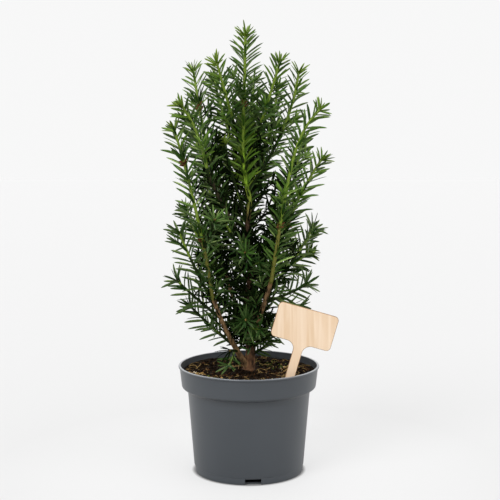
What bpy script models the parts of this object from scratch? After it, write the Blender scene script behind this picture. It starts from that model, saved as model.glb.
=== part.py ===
"""A young Hicksii hybrid yew in its round nursery pot, with a plain wooden plant label.

Metres, +Z up. The origin is the centre of the pot's flat underside, and -Y faces the viewer.
A bearing is a compass angle about the upright axis: 0 points to -Y and 90 to +X.
"""

import math
import random

import bmesh
import bpy
import numpy as np
from mathutils import Matrix, Vector

MM = 0.001
CLEAR = 0.3 * MM  # air kept between solids that touch on the real plant
SEAT_ROUNDS = 40  # passes that bring a foot to its seat, each closing part of what is left

# Pot: a thin moulded round of two litres, with a stepped-out collar under its lip
RIM_RADIUS = 85 * MM
POT_HEIGHT = 130 * MM
FOOT_RADIUS = 65.5 * MM
SHOULDER_RADIUS = 73.9 * MM
SHOULDER_HEIGHT = 99 * MM
WALL = 1.3 * MM
FLOOR = 1.6 * MM
LIP_DEPTH = 2.2 * MM
LIP_OVERHANG = 1.4 * MM
COLLAR_DRAFT = 2.2 * MM
COLLAR_FOOT = 108.5 * MM
COLLAR_ROUND = 5.4 * MM
FOOT_BAND = 8.5 * MM
FOOT_BAND_STEP = 0.4 * MM
FOOT_ROUND = 1.0 * MM
POT_SIDES = 40

# Drainage cut-outs: four notches through the foot of the wall and the edge of the floor
DRAIN_WIDTH = 19 * MM
DRAIN_HEIGHT = 6 * MM
DRAIN_DEPTH = 12 * MM
DRAIN_COUNT = 4
DRAIN_BEARING = 4.4

# Soil
SOIL_TOP = 121 * MM
SOIL_LUMPS = 1.6 * MM
SOIL_LUMP_SPACING = 17 * MM
SOIL_RINGS = 7
SOIL_SIDES = 32
SOIL_CALM_RADIUS = 15 * MM  # the surface is level this far round the trunk

# Plant label: a rounded plate on a stick, stood in the soil and leaning to the right
LABEL_WIDTH = 72 * MM
LABEL_HEIGHT = 42 * MM
LABEL_THICKNESS = 3 * MM
LABEL_CORNER = 5 * MM
STICK_WIDTH = 11 * MM
STICK_ABOVE = 46.5 * MM
STICK_BELOW = 40 * MM
STICK_POINT = 7 * MM
STICK_FILLET = 10 * MM
LABEL_LEAN = 16
LABEL_PLACE = (46.5 * MM, -50 * MM)
SLOT_MARGIN = 0.5 * MM

# Trunk
TRUNK_TOP = 386 * MM
TRUNK_SWAY = 1.8 * MM
TRUNK_SWAY_LENGTH = 97 * MM
TRUNK_SWAY_RISE = 20 * MM  # how far above the soil the sway has its full width
KNOT_HEIGHT = 338 * MM  # where the green leading shoot goes on from a side bud
KNOT_SHIFT = 5.0 * MM
KNOT_RUN = 8 * MM
TRUNK_RADIUS = (5.7 * MM, 2.0 * MM)
TRUNK_FLARE = 2.9 * MM
TRUNK_FLARE_FADE = 7 * MM
TRUNK_STEPS = 16
TRUNK_SIDES = 10

# Boughs: name, foot on the trunk, bearing, reach, height of the tip, bow, radius at foot and tip, in mm and
# degrees
BOUGH_ROWS = (
    ("bough_left", 128, -58, 49, 213, 0.30, 3.1, 2.4),
    ("bough_right", 156, 43, 38, 234, 0.15, 3.0, 2.4),
    ("bough_upper_left", 268, -61, 53, 359, 0.15, 2.4, 1.9),
    ("bough_back_left", 166, -142, 46, 236, 0.30, 2.8, 2.2),
    ("bough_back_right", 181, 140, 44, 250, 0.30, 2.7, 2.1),
    ("bough_upper_back", 262, 176, 33, 330, 0.30, 2.3, 1.9),
)
BOUGH_STEPS = 6
BOUGH_SIDES = 8
TIP = None  # a foot at the limb's own tip

# Masses of foliage, by their stems: name, limb, foot on it, bearing, reach, height of the tip, bow, and the
# share of the way out that is left to a hook at the tip, in mm and degrees
MASS_ROWS = (
    ("leader", "trunk", TIP, -90, 4.5, 522, 0.0, 0.0),
    ("top_left", "trunk", 372, -47, 50, 489, -0.10, 0.0),
    ("top_right", "trunk", 364, 48, 48, 490, 0.10, 0.0),
    ("high_left", "bough_upper_left", 340, -97, 66, 482, 0.20, 0.0),
    ("high_right", "trunk", 340, 100, 60, 480, 0.70, 0.0),
    ("high_back_left", "trunk", 330, -133, 57, 470, 0.10, 0.0),
    ("high_back_right", "trunk", 322, 142, 58, 462, 0.35, 0.0),
    ("high_back", "trunk", 348, 172, 42, 480, 0.20, 0.0),
    ("side_left", "bough_upper_left", TIP, -63, 86, 440, -0.50, 0.10),
    ("front_left", "bough_left", TIP, -71, 91, 413, -0.32, 0.0),
    ("front_right", "bough_right", TIP, 65, 90, 436, -0.13, 0.38),
    ("side_right", "bough_right", 226, 84, 86, 377, -0.50, 0.05),
    ("low_right", "bough_right", 219, 89, 76, 295, 0.20, 0.0),
    ("skirt_right", "bough_right", 209, 80, 70, 230, 0.30, 0.0),
    ("side_left_low", "bough_left", 198, -69, 91, 293, 0.15, 0.0),
    ("star_left", "bough_left", 199, -31, 76, 311, -0.20, 0.0),
    ("star_small", "trunk", 256, -35, 46, 304, 0.20, 0.0),
    ("skirt_left", "bough_left", 190, -77, 89, 235, 0.10, 0.0),
    ("foot_left", "bough_left", 154, -84, 71, 203, 0.10, 0.0),
    ("tuft_left", "bough_left", 138, -30, 36, 146, 0.0, 0.0),
    ("rosette_low", "trunk", 171, -4, 50, 193, 0.10, 0.0),
    ("rosette_high", "trunk", 244, -5, 50, 272, 0.10, 0.0),
    ("tuft_right", "trunk", 150, 66, 32, 172, 0.10, 0.0),
    ("inner_left", "trunk", 300, -68, 32, 396, 0.10, 0.0),
    ("back_left", "bough_back_left", TIP, -140, 84, 372, 0.30, 0.0),
    ("back_left_side", "bough_back_left", 222, -112, 84, 312, 0.20, 0.0),
    ("back_left_low", "bough_back_left", 212, -150, 80, 262, 0.10, 0.0),
    ("back_right", "bough_back_right", TIP, 128, 83, 398, 0.20, 0.0),
    ("back_right_side", "bough_back_right", 232, 112, 80, 262, 0.10, 0.0),
    ("back_right_low", "bough_back_right", 226, 152, 82, 310, 0.20, 0.0),
    ("back", "bough_upper_back", TIP, 178, 74, 430, 0.35, 0.0),
    ("back_upper_left", "trunk", 288, -122, 84, 424, 0.55, 0.0),
    ("foot_back", "trunk", 146, 172, 60, 206, 0.15, 0.0),
)
HOOK_POWER = 8
STEM_STEPS = 6
STEM_RADIUS = (1.9 * MM, 1.1 * MM)
STEM_SIDES = 3

# Side twigs, by the seeded rule that branches every stem
TWIG_EVERY = 48 * MM
TWIG_SPAN = (0.22, 0.78)  # the share of the stem that carries them
TWIG_LENGTH = (16 * MM, 34 * MM)
TWIG_ANGLE = 46
TWIG_LIFT = 0.35
TWIG_STEPS = 2
TWIG_RADIUS = (1.3 * MM, 0.9 * MM)
TWIG_ROOM = 13 * MM  # nearest that a twig comes to another mass's stem

# Needles: flat wedges, fewer and larger than life
NEEDLE_LENGTH = 27 * MM
NEEDLE_WIDTH = 7.5 * MM
NEEDLE_THICKNESS = 1.0 * MM
NEEDLE_ROOT = 0.5 * MM
NEEDLE_EVERY = 8.3 * MM
NEEDLE_ANGLE = (58, 24)  # to the stem, at its foot and at its tip
NEEDLE_SHORTEST = 0.65  # the length of a needle at the tip, as a share of the others
NEEDLE_SHORT_REACH = 26 * MM  # how far from the tip they grow shorter
NEEDLE_SQUEEZE = (0.30, 0.50)  # how far needles part into two rows: on the leader, and elsewhere
TUFT_COUNT = 3
TUFT_ANGLE = 17
GOLDEN_ANGLE = 137.508

# Own space
SKELETON_STEP = 2 * MM
SPACE_MARGIN = 0.8 * MM
STEM_ROOM = 2.6 * MM
LIMB_ROOM = 0.7 * MM
SEED = 1947

COLOURS = {
    "pot": ((0.055, 0.062, 0.070), 0.42),
    "soil": ((0.030, 0.019, 0.012), 0.95),
    "plant_label": ((0.70, 0.50, 0.30), 0.60),
    "wood": ((0.130, 0.070, 0.040), 0.85),
    "foliage": ((0.030, 0.110, 0.025), 0.50),
}


def clear_scene():
    for obj in list(bpy.data.objects):
        bpy.data.objects.remove(obj, do_unlink=True)


def new_collection(name):
    collection = bpy.data.collections.new(name)
    bpy.context.scene.collection.children.link(collection)
    return collection


def material(name, kind):
    """A Principled material for one object, in the colour and roughness of its kind."""
    made = bpy.data.materials.new(name)
    made.use_nodes = True
    shader = made.node_tree.nodes["Principled BSDF"]
    colour, roughness = COLOURS[kind]
    shader.inputs["Base Color"].default_value = (*colour, 1)
    shader.inputs["Roughness"].default_value = roughness
    shader.inputs["Metallic"].default_value = 0
    return made


def add_object(name, mesh, collection, kind):
    obj = bpy.data.objects.new(name, mesh)
    collection.objects.link(obj)
    mesh.materials.clear()
    mesh.materials.append(material(name, kind))
    return obj


def at_bearing(bearing, reach, height):
    turn = math.radians(bearing)
    return Vector((reach * math.sin(turn), -reach * math.cos(turn), height))


def evaluated_mesh(obj):
    """The mesh of an object with its modifiers applied, in the object's own space."""
    graph = bpy.context.evaluated_depsgraph_get()
    return bpy.data.meshes.new_from_object(obj.evaluated_get(graph))


def turned(name, profile, sides, collection, kind):
    """A solid of revolution. Its profile (radius, height) starts and ends on the axis, down the outside."""
    mesh = bpy.data.meshes.new(name)
    corners = [(radius, 0, height) for radius, height in profile]
    mesh.from_pydata(corners, [(i, i + 1) for i in range(len(corners) - 1)], [])
    obj = add_object(name, mesh, collection, kind)
    screw = obj.modifiers.new("turn", "SCREW")
    screw.steps = sides
    screw.render_steps = sides
    screw.use_merge_vertices = True
    screw.merge_threshold = 0.0001
    return obj


def pot_outer_profile():
    """The pot's outside from the lip down to the edge of its foot."""
    collar_top = RIM_RADIUS - LIP_OVERHANG
    collar_low = collar_top - COLLAR_DRAFT
    band_radius = FOOT_RADIUS + (SHOULDER_RADIUS - FOOT_RADIUS) * FOOT_BAND / SHOULDER_HEIGHT
    under = SHOULDER_HEIGHT + WALL
    return [
        (RIM_RADIUS, POT_HEIGHT),
        (RIM_RADIUS, POT_HEIGHT - LIP_DEPTH),
        (collar_top, POT_HEIGHT - LIP_DEPTH - LIP_OVERHANG),
        (collar_low, COLLAR_FOOT),
        (collar_low - 0.3 * COLLAR_ROUND, COLLAR_FOOT - 0.7 * COLLAR_ROUND),
        (collar_low - COLLAR_ROUND, under + WALL),
        (SHOULDER_RADIUS, SHOULDER_HEIGHT),
        (band_radius, FOOT_BAND),
        (band_radius - FOOT_BAND_STEP, FOOT_BAND - FOOT_BAND_STEP),
        (FOOT_RADIUS, FOOT_ROUND),
        (FOOT_RADIUS - FOOT_ROUND, 0),
    ]


def pot_inner_profile(inset):
    """The pot's inside from its floor up to the lip, moved in by inset where the soil lies against it."""
    collar_top = RIM_RADIUS - LIP_OVERHANG
    collar_low = collar_top - COLLAR_DRAFT
    inner = WALL + inset
    return [
        (FOOT_RADIUS - inner, FLOOR + inset),
        (SHOULDER_RADIUS - inner, SHOULDER_HEIGHT + WALL),
        (collar_low - inner, COLLAR_FOOT),
        (collar_top - inner, POT_HEIGHT - LIP_DEPTH),
        (collar_top - inner, POT_HEIGHT),
    ]


def cutter(name, size, place, turn, collection):
    """A box that cuts another object and isn't part of the model. turn is its Euler rotation in degrees."""
    bpy.ops.mesh.primitive_cube_add(size=1)
    box = bpy.context.active_object
    box.name = name
    box.scale = size
    box.location = place
    box.rotation_euler = [math.radians(angle) for angle in turn]
    for holder in box.users_collection:
        holder.objects.unlink(box)
    collection.objects.link(box)
    box.hide_render = True
    box.display_type = "WIRE"
    return box


def cut(obj, box):
    boolean = obj.modifiers.new("cut_" + box.name, "BOOLEAN")
    boolean.operation = "DIFFERENCE"
    boolean.object = box


def make_pot(parts, cutters):
    profile = [(0, FLOOR), *pot_inner_profile(0), *pot_outer_profile(), (0, 0)]
    pot = turned("pot", profile, POT_SIDES, parts, "pot")
    for index in range(DRAIN_COUNT):
        bearing = DRAIN_BEARING + 360 / DRAIN_COUNT * index
        place = at_bearing(bearing, FOOT_RADIUS, 0)
        size = (DRAIN_WIDTH, DRAIN_DEPTH, 2 * DRAIN_HEIGHT)
        cut(pot, cutter(f"drain_{index}", size, place, (0, 0, bearing), cutters))
    return pot


def lumps(x, y):
    """Height of the soil above its level: crossed waves, calm round the trunk."""
    a = math.sin(x / SOIL_LUMP_SPACING * 2.1 + 0.7) * math.cos(y / SOIL_LUMP_SPACING * 1.7)
    b = math.sin((x + y) / SOIL_LUMP_SPACING * 1.3 + 2.0)
    calm = min(1, max(0, math.hypot(x, y) / SOIL_CALM_RADIUS - 1))
    return 0.5 * SOIL_LUMPS * calm * (a + b)


def make_soil(parts, cutters):
    """The root ball's earth: it fills the pot to a little below the rim."""
    wall = [corner for corner in pot_inner_profile(CLEAR) if corner[1] < SOIL_TOP]
    collar_height = SOIL_TOP - 1.2 * MM
    share = (collar_height - COLLAR_FOOT) / (POT_HEIGHT - LIP_DEPTH - COLLAR_FOOT)
    edge = wall[-1][0] + COLLAR_DRAFT * share
    rings = [(edge * i / SOIL_RINGS, SOIL_TOP) for i in range(SOIL_RINGS)]
    profile = [*rings, (edge, collar_height), *reversed(wall), (0, FLOOR + CLEAR)]
    guide = turned("soil", profile, SOIL_SIDES, parts, "soil")
    mesh = evaluated_mesh(guide)
    bpy.data.objects.remove(guide)
    for vertex in mesh.vertices:
        if vertex.co.z > SOIL_TOP - CLEAR:
            vertex.co.z += lumps(vertex.co.x, vertex.co.y)
    soil = add_object("soil", mesh, parts, "soil")
    margin = 2 * SLOT_MARGIN
    size = (STICK_WIDTH + margin, LABEL_THICKNESS + margin, 2 * STICK_BELOW + margin)
    place = (*LABEL_PLACE, SOIL_TOP)
    cut(soil, cutter("label_slot", size, place, (0, LABEL_LEAN, 0), cutters))
    return soil


def rounded(corners, steps):
    """A closed outline whose corners (x, y, radius) are turned into arcs, inward or outward as it bends."""
    outline = []
    count = len(corners)
    for index, (x, y, radius) in enumerate(corners):
        here = Vector((x, y))
        before = (Vector(corners[index - 1][:2]) - here).normalized()
        after = (Vector(corners[(index + 1) % count][:2]) - here).normalized()
        if radius == 0:
            outline.append(here)
            continue
        half = before.angle(after) / 2
        centre = here + (before + after).normalized() * radius / math.sin(half)
        start = here + before * radius / math.tan(half) - centre
        sweep = (2 * half - math.pi) * math.copysign(1, before.cross(after))
        for step in range(steps + 1):
            outline.append(centre + Matrix.Rotation(sweep * step / steps, 2) @ start)
    return outline


def make_label(parts):
    """A flat outline with its thickness, in its own XY plane, its origin on the stick at soil level."""
    side = LABEL_WIDTH / 2
    stick = STICK_WIDTH / 2
    top = STICK_ABOVE + LABEL_HEIGHT
    corners = [
        (-side, top, LABEL_CORNER),
        (-side, STICK_ABOVE, LABEL_CORNER),
        (-stick, STICK_ABOVE, STICK_FILLET),
        (-stick, STICK_POINT - STICK_BELOW, 0),
        (0, -STICK_BELOW, 0),
        (stick, STICK_POINT - STICK_BELOW, 0),
        (stick, STICK_ABOVE, STICK_FILLET),
        (side, STICK_ABOVE, LABEL_CORNER),
        (side, top, LABEL_CORNER),
    ]
    outline = rounded(corners, 5)
    curve = bpy.data.curves.new("plant_label", "CURVE")
    curve.dimensions = "2D"
    curve.fill_mode = "BOTH"
    curve.extrude = LABEL_THICKNESS / 2
    spline = curve.splines.new("POLY")
    spline.points.add(len(outline) - 1)
    for point, place in zip(spline.points, outline):
        point.co = (*place, 0, 1)
    spline.use_cyclic_u = True
    label = add_object("plant_label", curve, parts, "plant_label")
    label.location = (*LABEL_PLACE, SOIL_TOP)
    label.rotation_euler = (math.radians(90), math.radians(LABEL_LEAN), 0)
    return label


class Limb:
    """A tapering limb: the points of its axis and its radius at each."""

    def __init__(self, points, radii):
        self.points = np.array(points)
        self.radii = np.array(radii)

    def at_height(self, height):
        """The point of the axis at a height. Every limb that carries others rises all the way."""
        return Vector([np.interp(height, self.points[:, 2], self.points[:, axis]) for axis in range(3)])

    def tip(self):
        """The tip, and the direction in which the limb ends."""
        end, before = Vector(self.points[-1]), Vector(self.points[-2])
        return end, (end - before).normalized()

    def clearance(self, places):
        """For each place, how far it lies outside the limb's skin."""
        places = np.atleast_2d(places)
        start, run = self.points[:-1], np.diff(self.points, axis=0)
        share = np.einsum("psk,sk->ps", places[:, None] - start, run) / np.einsum("sk,sk->s", run, run)
        share = share.clip(0, 1)
        nearest = start + share[..., None] * run
        radius = self.radii[:-1] + share * np.diff(self.radii)
        return (np.linalg.norm(places[:, None] - nearest, axis=2) - radius).min(axis=1)


def taper(radii, steps):
    return [radii[0] + (radii[1] - radii[0]) * i / steps for i in range(steps + 1)]


def sweep_path(foot, tip, bow, steps, hook=0):
    """Points from foot to tip: the height grows evenly, while the way out grows faster at first where bow is
    over 0, so that the limb turns up, and faster at the end where bow is under 0, so that it leans out. The
    share hook of the way out comes only at the very end."""
    points = []
    for step in range(steps + 1):
        share = step / steps
        out = (1 - hook) * (share + bow * share * (1 - share)) + hook * share**HOOK_POWER
        place = foot.lerp(tip, out)
        place.z = foot.z + (tip.z - foot.z) * share
        points.append(place)
    return points


def ring_profile(sides, cutters):
    """A regular polygon of radius 1 that limbs are swept with."""
    curve = bpy.data.curves.new(f"ring_{sides}", "CURVE")
    spline = curve.splines.new("POLY")
    spline.points.add(sides - 1)
    for index, point in enumerate(spline.points):
        turn = 2 * math.pi * index / sides
        point.co = (math.cos(turn), math.sin(turn), 0, 1)
    spline.use_cyclic_u = True
    ring = bpy.data.objects.new(curve.name, curve)
    cutters.objects.link(ring)
    ring.hide_render = True
    ring.display_type = "WIRE"
    return ring


def limb_mesh(limb, ring):
    """The closed mesh of a limb: a curve swept with the ring, as thick at each point as the limb there."""
    curve = bpy.data.curves.new("limb", "CURVE")
    curve.dimensions = "3D"
    curve.bevel_mode = "OBJECT"
    curve.bevel_object = ring
    curve.use_fill_caps = True
    spline = curve.splines.new("POLY")
    spline.points.add(len(limb.points) - 1)
    for point, place, radius in zip(spline.points, limb.points, limb.radii):
        point.co = (*place, 1)
        point.radius = radius
    guide = bpy.data.objects.new("limb", curve)
    bpy.context.scene.collection.objects.link(guide)
    mesh = evaluated_mesh(guide)
    bpy.data.objects.remove(guide)
    bpy.data.curves.remove(curve)
    weld = bmesh.new()
    weld.from_mesh(mesh)
    bmesh.ops.remove_doubles(weld, verts=weld.verts, dist=0.000001)
    bmesh.ops.recalc_face_normals(weld, faces=weld.faces)
    weld.to_mesh(mesh)
    weld.free()
    return mesh


def seat_foot(mesh, limb, carrier):
    """Slides the ring of vertices at a limb's foot along it until it is just clear of what carries it."""
    foot = Vector(limb.points[0])
    along = (Vector(limb.points[1]) - foot).normalized()
    ring = [v for v in mesh.vertices if abs((v.co - foot).dot(along)) < 0.01 * MM]
    for _ in range(SEAT_ROUNDS):
        corners = [vertex.co for vertex in ring]
        edges = [a.lerp(b, share) for a in corners for b in corners for share in (0, 0.25, 0.5)]
        spare = carrier.clearance(edges).min() - CLEAR
        for vertex in ring:
            vertex.co -= along * spare


def trunk_axis(rise):
    """The trunk's axis above its foot: a sway that starts above the soil, and a step aside at the knot."""
    sway = TRUNK_SWAY * math.sin(2 * math.pi * rise / TRUNK_SWAY_LENGTH) * min(1, rise / TRUNK_SWAY_RISE)
    height = SOIL_TOP + CLEAR + rise
    shift = KNOT_SHIFT * (0.5 + 0.5 * math.tanh((height - KNOT_HEIGHT) / KNOT_RUN))
    return Vector((sway - shift, 0, height))


def make_trunk(parts, ring):
    """The trunk, from its flat cut at the soil, with its root flare, up to where its top shoots fork off."""
    length = TRUNK_TOP - SOIL_TOP - CLEAR
    points, radii = [], []
    for step in range(TRUNK_STEPS + 1):
        share = (step / TRUNK_STEPS) ** 1.15
        rise = length * share
        points.append(trunk_axis(rise))
        taper_radius = TRUNK_RADIUS[0] + (TRUNK_RADIUS[1] - TRUNK_RADIUS[0]) * share
        radii.append(taper_radius + TRUNK_FLARE * math.exp(-rise / TRUNK_FLARE_FADE))
    points[1].x = points[0].x
    trunk = Limb(points, radii)
    add_object("trunk", limb_mesh(trunk, ring), parts, "wood")
    return trunk


def make_boughs(parts, ring, trunk):
    boughs = {}
    for name, foot, bearing, reach, height, bow, foot_radius, tip_radius in BOUGH_ROWS:
        start = trunk.at_height(foot * MM)
        tip = at_bearing(bearing, reach * MM, height * MM)
        points = sweep_path(start, tip, bow, BOUGH_STEPS)
        radii = taper((foot_radius * MM, tip_radius * MM), BOUGH_STEPS)
        points, radii = trimmed(points, radii, trunk)
        bough = Limb(points, radii)
        mesh = limb_mesh(bough, ring)
        seat_foot(mesh, bough, trunk)
        add_object(name, mesh, parts, "wood")
        boughs[name] = bough
    return boughs


def trimmed(points, radii, carrier):
    """Starts a limb's axis outside its carrier: what lies within is dropped, and the foot moves out."""
    while carrier.clearance(points[1])[0] < 1.2 * radii[1]:
        points, radii = points[1:], radii[1:]
    start, towards = points[0], points[1]
    share = 0
    while carrier.clearance(start.lerp(towards, share))[0] < radii[0]:
        share += 0.02
    return [start.lerp(towards, share), *points[1:]], radii


def make_stems(limbs):
    """The main stem of each mass, as a Limb, in the order of the rows."""
    stems = []
    for name, carrier, foot, bearing, reach, height, bow, hook in MASS_ROWS:
        limb = limbs[carrier]
        tip = at_bearing(bearing, reach * MM, height * MM)
        radii = taper(STEM_RADIUS, STEM_STEPS)
        if foot is TIP:
            end, along = limb.tip()
            start = end + along * CLEAR
            lead = start + along * 3 * MM
            points = [start, *sweep_path(lead, tip, bow, STEM_STEPS - 1, hook)]
        else:
            points = sweep_path(limb.at_height(foot * MM), tip, bow, STEM_STEPS, hook)
            points, radii = trimmed(points, radii, limb)
        stems.append(Limb(points, radii))
    return stems


def frame_at(limb, distance):
    """The place, direction, sideways and outward vectors of a limb at a distance along it, and the share of
    its length there. Outward is away from the plant's axis."""
    runs = np.linalg.norm(np.diff(limb.points, axis=0), axis=1)
    lengths = np.concatenate([[0], np.cumsum(runs)])
    place = Vector([np.interp(distance, lengths, limb.points[:, axis]) for axis in range(3)])
    segment = min(len(runs) - 1, int(np.searchsorted(lengths, distance, side="right")) - 1)
    along = Vector(limb.points[segment + 1] - limb.points[segment]).normalized()
    outward = Vector((place.x, place.y, 0))
    if outward.length < 8 * MM:
        outward = Vector((0, -1, 0))
    side = along.cross(outward).normalized()
    return place, along, side, side.cross(along).normalized(), distance / lengths[-1]


def length_of(limb):
    return float(np.linalg.norm(np.diff(limb.points, axis=0), axis=1).sum())


def samples(limb):
    """Points close together all along a limb's axis."""
    runs = np.linalg.norm(np.diff(limb.points, axis=0), axis=1)
    lengths = np.concatenate([[0], np.cumsum(runs)])
    spots = np.linspace(0, lengths[-1], 2 + int(lengths[-1] / SKELETON_STEP))
    return np.stack([np.interp(spots, lengths, limb.points[:, axis]) for axis in range(3)], axis=1)


class Skeleton:
    """Points along all stems and twigs, each with the number of the mass that owns it."""

    def __init__(self, stems):
        self.points = np.concatenate([samples(stem) for stem in stems])
        self.owner = np.concatenate([np.full(len(samples(stem)), mass) for mass, stem in enumerate(stems)])

    def add(self, mass, twig):
        self.points = np.concatenate([self.points, samples(twig)])
        self.owner = np.concatenate([self.owner, np.full(len(samples(twig)), mass)])

    def distances(self, places, mass):
        """For each place, how far it is from the mass's own skeleton, and from the nearest other mass's."""
        apart = np.linalg.norm(np.asarray(places)[:, None] - self.points, axis=2)
        own = self.owner == mass
        return apart[:, own].min(axis=1), apart[:, ~own].min(axis=1)


def clear_of_label(places):
    """Whether every place is clear of the label's plate, in the label's own frame."""
    lean = math.radians(LABEL_LEAN)
    x = places[:, 0] - LABEL_PLACE[0]
    z = places[:, 2] - SOIL_TOP
    across = x * math.cos(lean) - z * math.sin(lean)
    up = x * math.sin(lean) + z * math.cos(lean)
    inside = (np.abs(across) < LABEL_WIDTH / 2 + LIMB_ROOM) & (up < STICK_ABOVE + LABEL_HEIGHT + LIMB_ROOM)
    inside &= np.abs(places[:, 1] - LABEL_PLACE[1]) < LABEL_THICKNESS / 2 + LIMB_ROOM
    return not inside.any()


def clear_of_the_rest(places, limbs):
    """Whether every place is clear of trunk, boughs, soil, pot and label."""
    low = POT_HEIGHT + LIMB_ROOM
    return (
        (places[:, 2] > low).all()
        and clear_of_label(places)
        and all((limb.clearance(places) > LIMB_ROOM).all() for limb in limbs)
    )


def grow_twigs(stems, limbs, skeleton, rng):
    """Side twigs: they alternate down each stem and leave it at one angle, where there is room for them."""
    twigs = [[] for _ in stems]
    for mass, stem in enumerate(stems):
        length = length_of(stem)
        hand = 1
        distance = length * TWIG_SPAN[0]
        while distance < length * TWIG_SPAN[1]:
            place, along, side, outward, share = frame_at(stem, distance)
            angle = math.radians(TWIG_ANGLE + rng.uniform(-6, 6))
            away = (hand * side + TWIG_LIFT * outward).normalized()
            reach = rng.uniform(*TWIG_LENGTH) * (1.1 - 0.5 * share)
            bend = place + (along * math.cos(angle) + away * math.sin(angle)) * reach * 0.6
            tip = bend + (along * math.cos(0.6 * angle) + away * math.sin(0.6 * angle)) * reach * 0.4
            twig = Limb([place, bend, tip], taper(TWIG_RADIUS, TWIG_STEPS))
            outer = samples(twig)[2:]
            near = skeleton.distances(outer, mass)[1].min()
            if near > TWIG_ROOM and clear_of_the_rest(outer, limbs):
                twigs[mass].append(twig)
                skeleton.add(mass, twig)
            hand = -hand
            distance += TWIG_EVERY * rng.uniform(0.8, 1.2)
    return twigs


def needle_corners():
    """A needle along +Y with its face to +Z: a narrow root, three corners in the middle and a point."""
    half = NEEDLE_WIDTH / 2
    root = NEEDLE_ROOT / 2
    rise = NEEDLE_THICKNESS / 2
    return [
        (-root, 0, 0),
        (root, 0, 0),
        (-half, 0.45 * NEEDLE_LENGTH, -rise),
        (half, 0.45 * NEEDLE_LENGTH, -rise),
        (0, 0.5 * NEEDLE_LENGTH, rise),
        (0, NEEDLE_LENGTH, -rise),
    ]


def needle_mesh():
    hull = bmesh.new()
    for corner in needle_corners():
        hull.verts.new(corner)
    bmesh.ops.convex_hull(hull, input=hull.verts)
    bmesh.ops.recalc_face_normals(hull, faces=hull.faces)
    mesh = bpy.data.meshes.new("needle")
    hull.to_mesh(mesh)
    hull.free()
    return mesh


def needle_matrix(limb, distance, turn, angle, squeeze):
    """Places a needle on a limb: turn is its angle round the limb, squeezed towards the two sides. Towards
    the limb's tip the needles are shorter."""
    place, along, side, outward, share = frame_at(limb, distance)
    from_tip = distance / share - distance
    scale = min(1, NEEDLE_SHORTEST + (1 - NEEDLE_SHORTEST) * from_tip / NEEDLE_SHORT_REACH)
    turn -= squeeze / 2 * math.sin(2 * turn)
    away = math.cos(turn) * side + math.sin(turn) * outward
    forward = (math.cos(angle) * along + math.sin(angle) * away).normalized()
    face = squeeze * outward + (1 - squeeze) * along
    face = (face - face.dot(forward) * forward).normalized()
    matrix = Matrix((forward.cross(face), forward, face)).transposed().to_4x4()
    matrix.translation = place
    return matrix @ Matrix.Diagonal((1, scale, 1, 1))


def needle_places(limb, squeeze, rng):
    """The matrices of the needles that a stem or twig would carry, round it, with a tuft at its tip."""
    length = length_of(limb)
    places = []
    distance = 0.6 * NEEDLE_EVERY
    turn = rng.uniform(0, 2 * math.pi)
    while distance < length - 0.5 * NEEDLE_EVERY:
        share = distance / length
        angle = NEEDLE_ANGLE[0] + (NEEDLE_ANGLE[1] - NEEDLE_ANGLE[0]) * share**2
        places.append(needle_matrix(limb, distance, turn, math.radians(angle), squeeze))
        distance += NEEDLE_EVERY * rng.uniform(0.9, 1.1)
        turn += math.radians(GOLDEN_ANGLE)
    for index in range(TUFT_COUNT):
        turn = 2 * math.pi * (index + 0.25) / TUFT_COUNT
        tuft = needle_matrix(limb, length - (index + 1) * 0.8 * MM, turn, math.radians(TUFT_ANGLE), 0)
        places.append(tuft)
    return places


def needle_fits(matrix, mass, skeleton, limbs):
    """Whether a needle stays in its mass's own space and touches nothing else."""
    corners = [matrix @ Vector(corner) for corner in needle_corners()]
    roots, middles, point = corners[:2], corners[2:5], corners[5]
    places = [root.lerp(middle, share) for root in roots for middle in middles for share in (0.2, 0.6, 1)]
    places += [middle.lerp(point, share) for middle in middles for share in (0.3, 0.65, 1)]
    places = np.array(places)
    own, other = skeleton.distances(places, mass)
    in_space = (own + SPACE_MARGIN < other).all() and (other > STEM_ROOM).all()
    return in_space and clear_of_the_rest(places, limbs)


def keep_outer_shell(mesh):
    """Drops loose scraps and the walls of sealed hollows, which leaves the one largest shell."""
    shells = bmesh.new()
    shells.from_mesh(mesh)
    bmesh.ops.remove_doubles(shells, verts=shells.verts, dist=0.0000005)
    bmesh.ops.triangulate(shells, faces=shells.faces)
    unseen = set(shells.faces)
    groups = []
    while unseen:
        group, front = set(), [unseen.pop()]
        while front:
            face = front.pop()
            group.add(face)
            joined = {other for edge in face.edges for other in edge.link_faces} & unseen
            unseen -= joined
            front += joined
        groups.append(group)
    largest = max(groups, key=len)
    loose = [face for group in groups if group is not largest for face in group]
    bmesh.ops.delete(shells, geom=loose, context="FACES")
    shells.to_mesh(mesh)
    shells.free()


def join_mass(name, stem_mesh, pieces, parts):
    """Joins a mass's stem, twigs and needles into one solid with a Boolean union on their collection."""
    stem = bpy.data.objects.new(name + "_stem", stem_mesh)
    parts.objects.link(stem)
    union = stem.modifiers.new("join", "BOOLEAN")
    union.operation = "UNION"
    union.operand_type = "COLLECTION"
    union.collection = pieces
    mesh = evaluated_mesh(stem)
    for obj in [stem, *pieces.objects]:
        bpy.data.objects.remove(obj)
    bpy.data.collections.remove(pieces)
    keep_outer_shell(mesh)
    return add_object(name, mesh, parts, "foliage")


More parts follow.
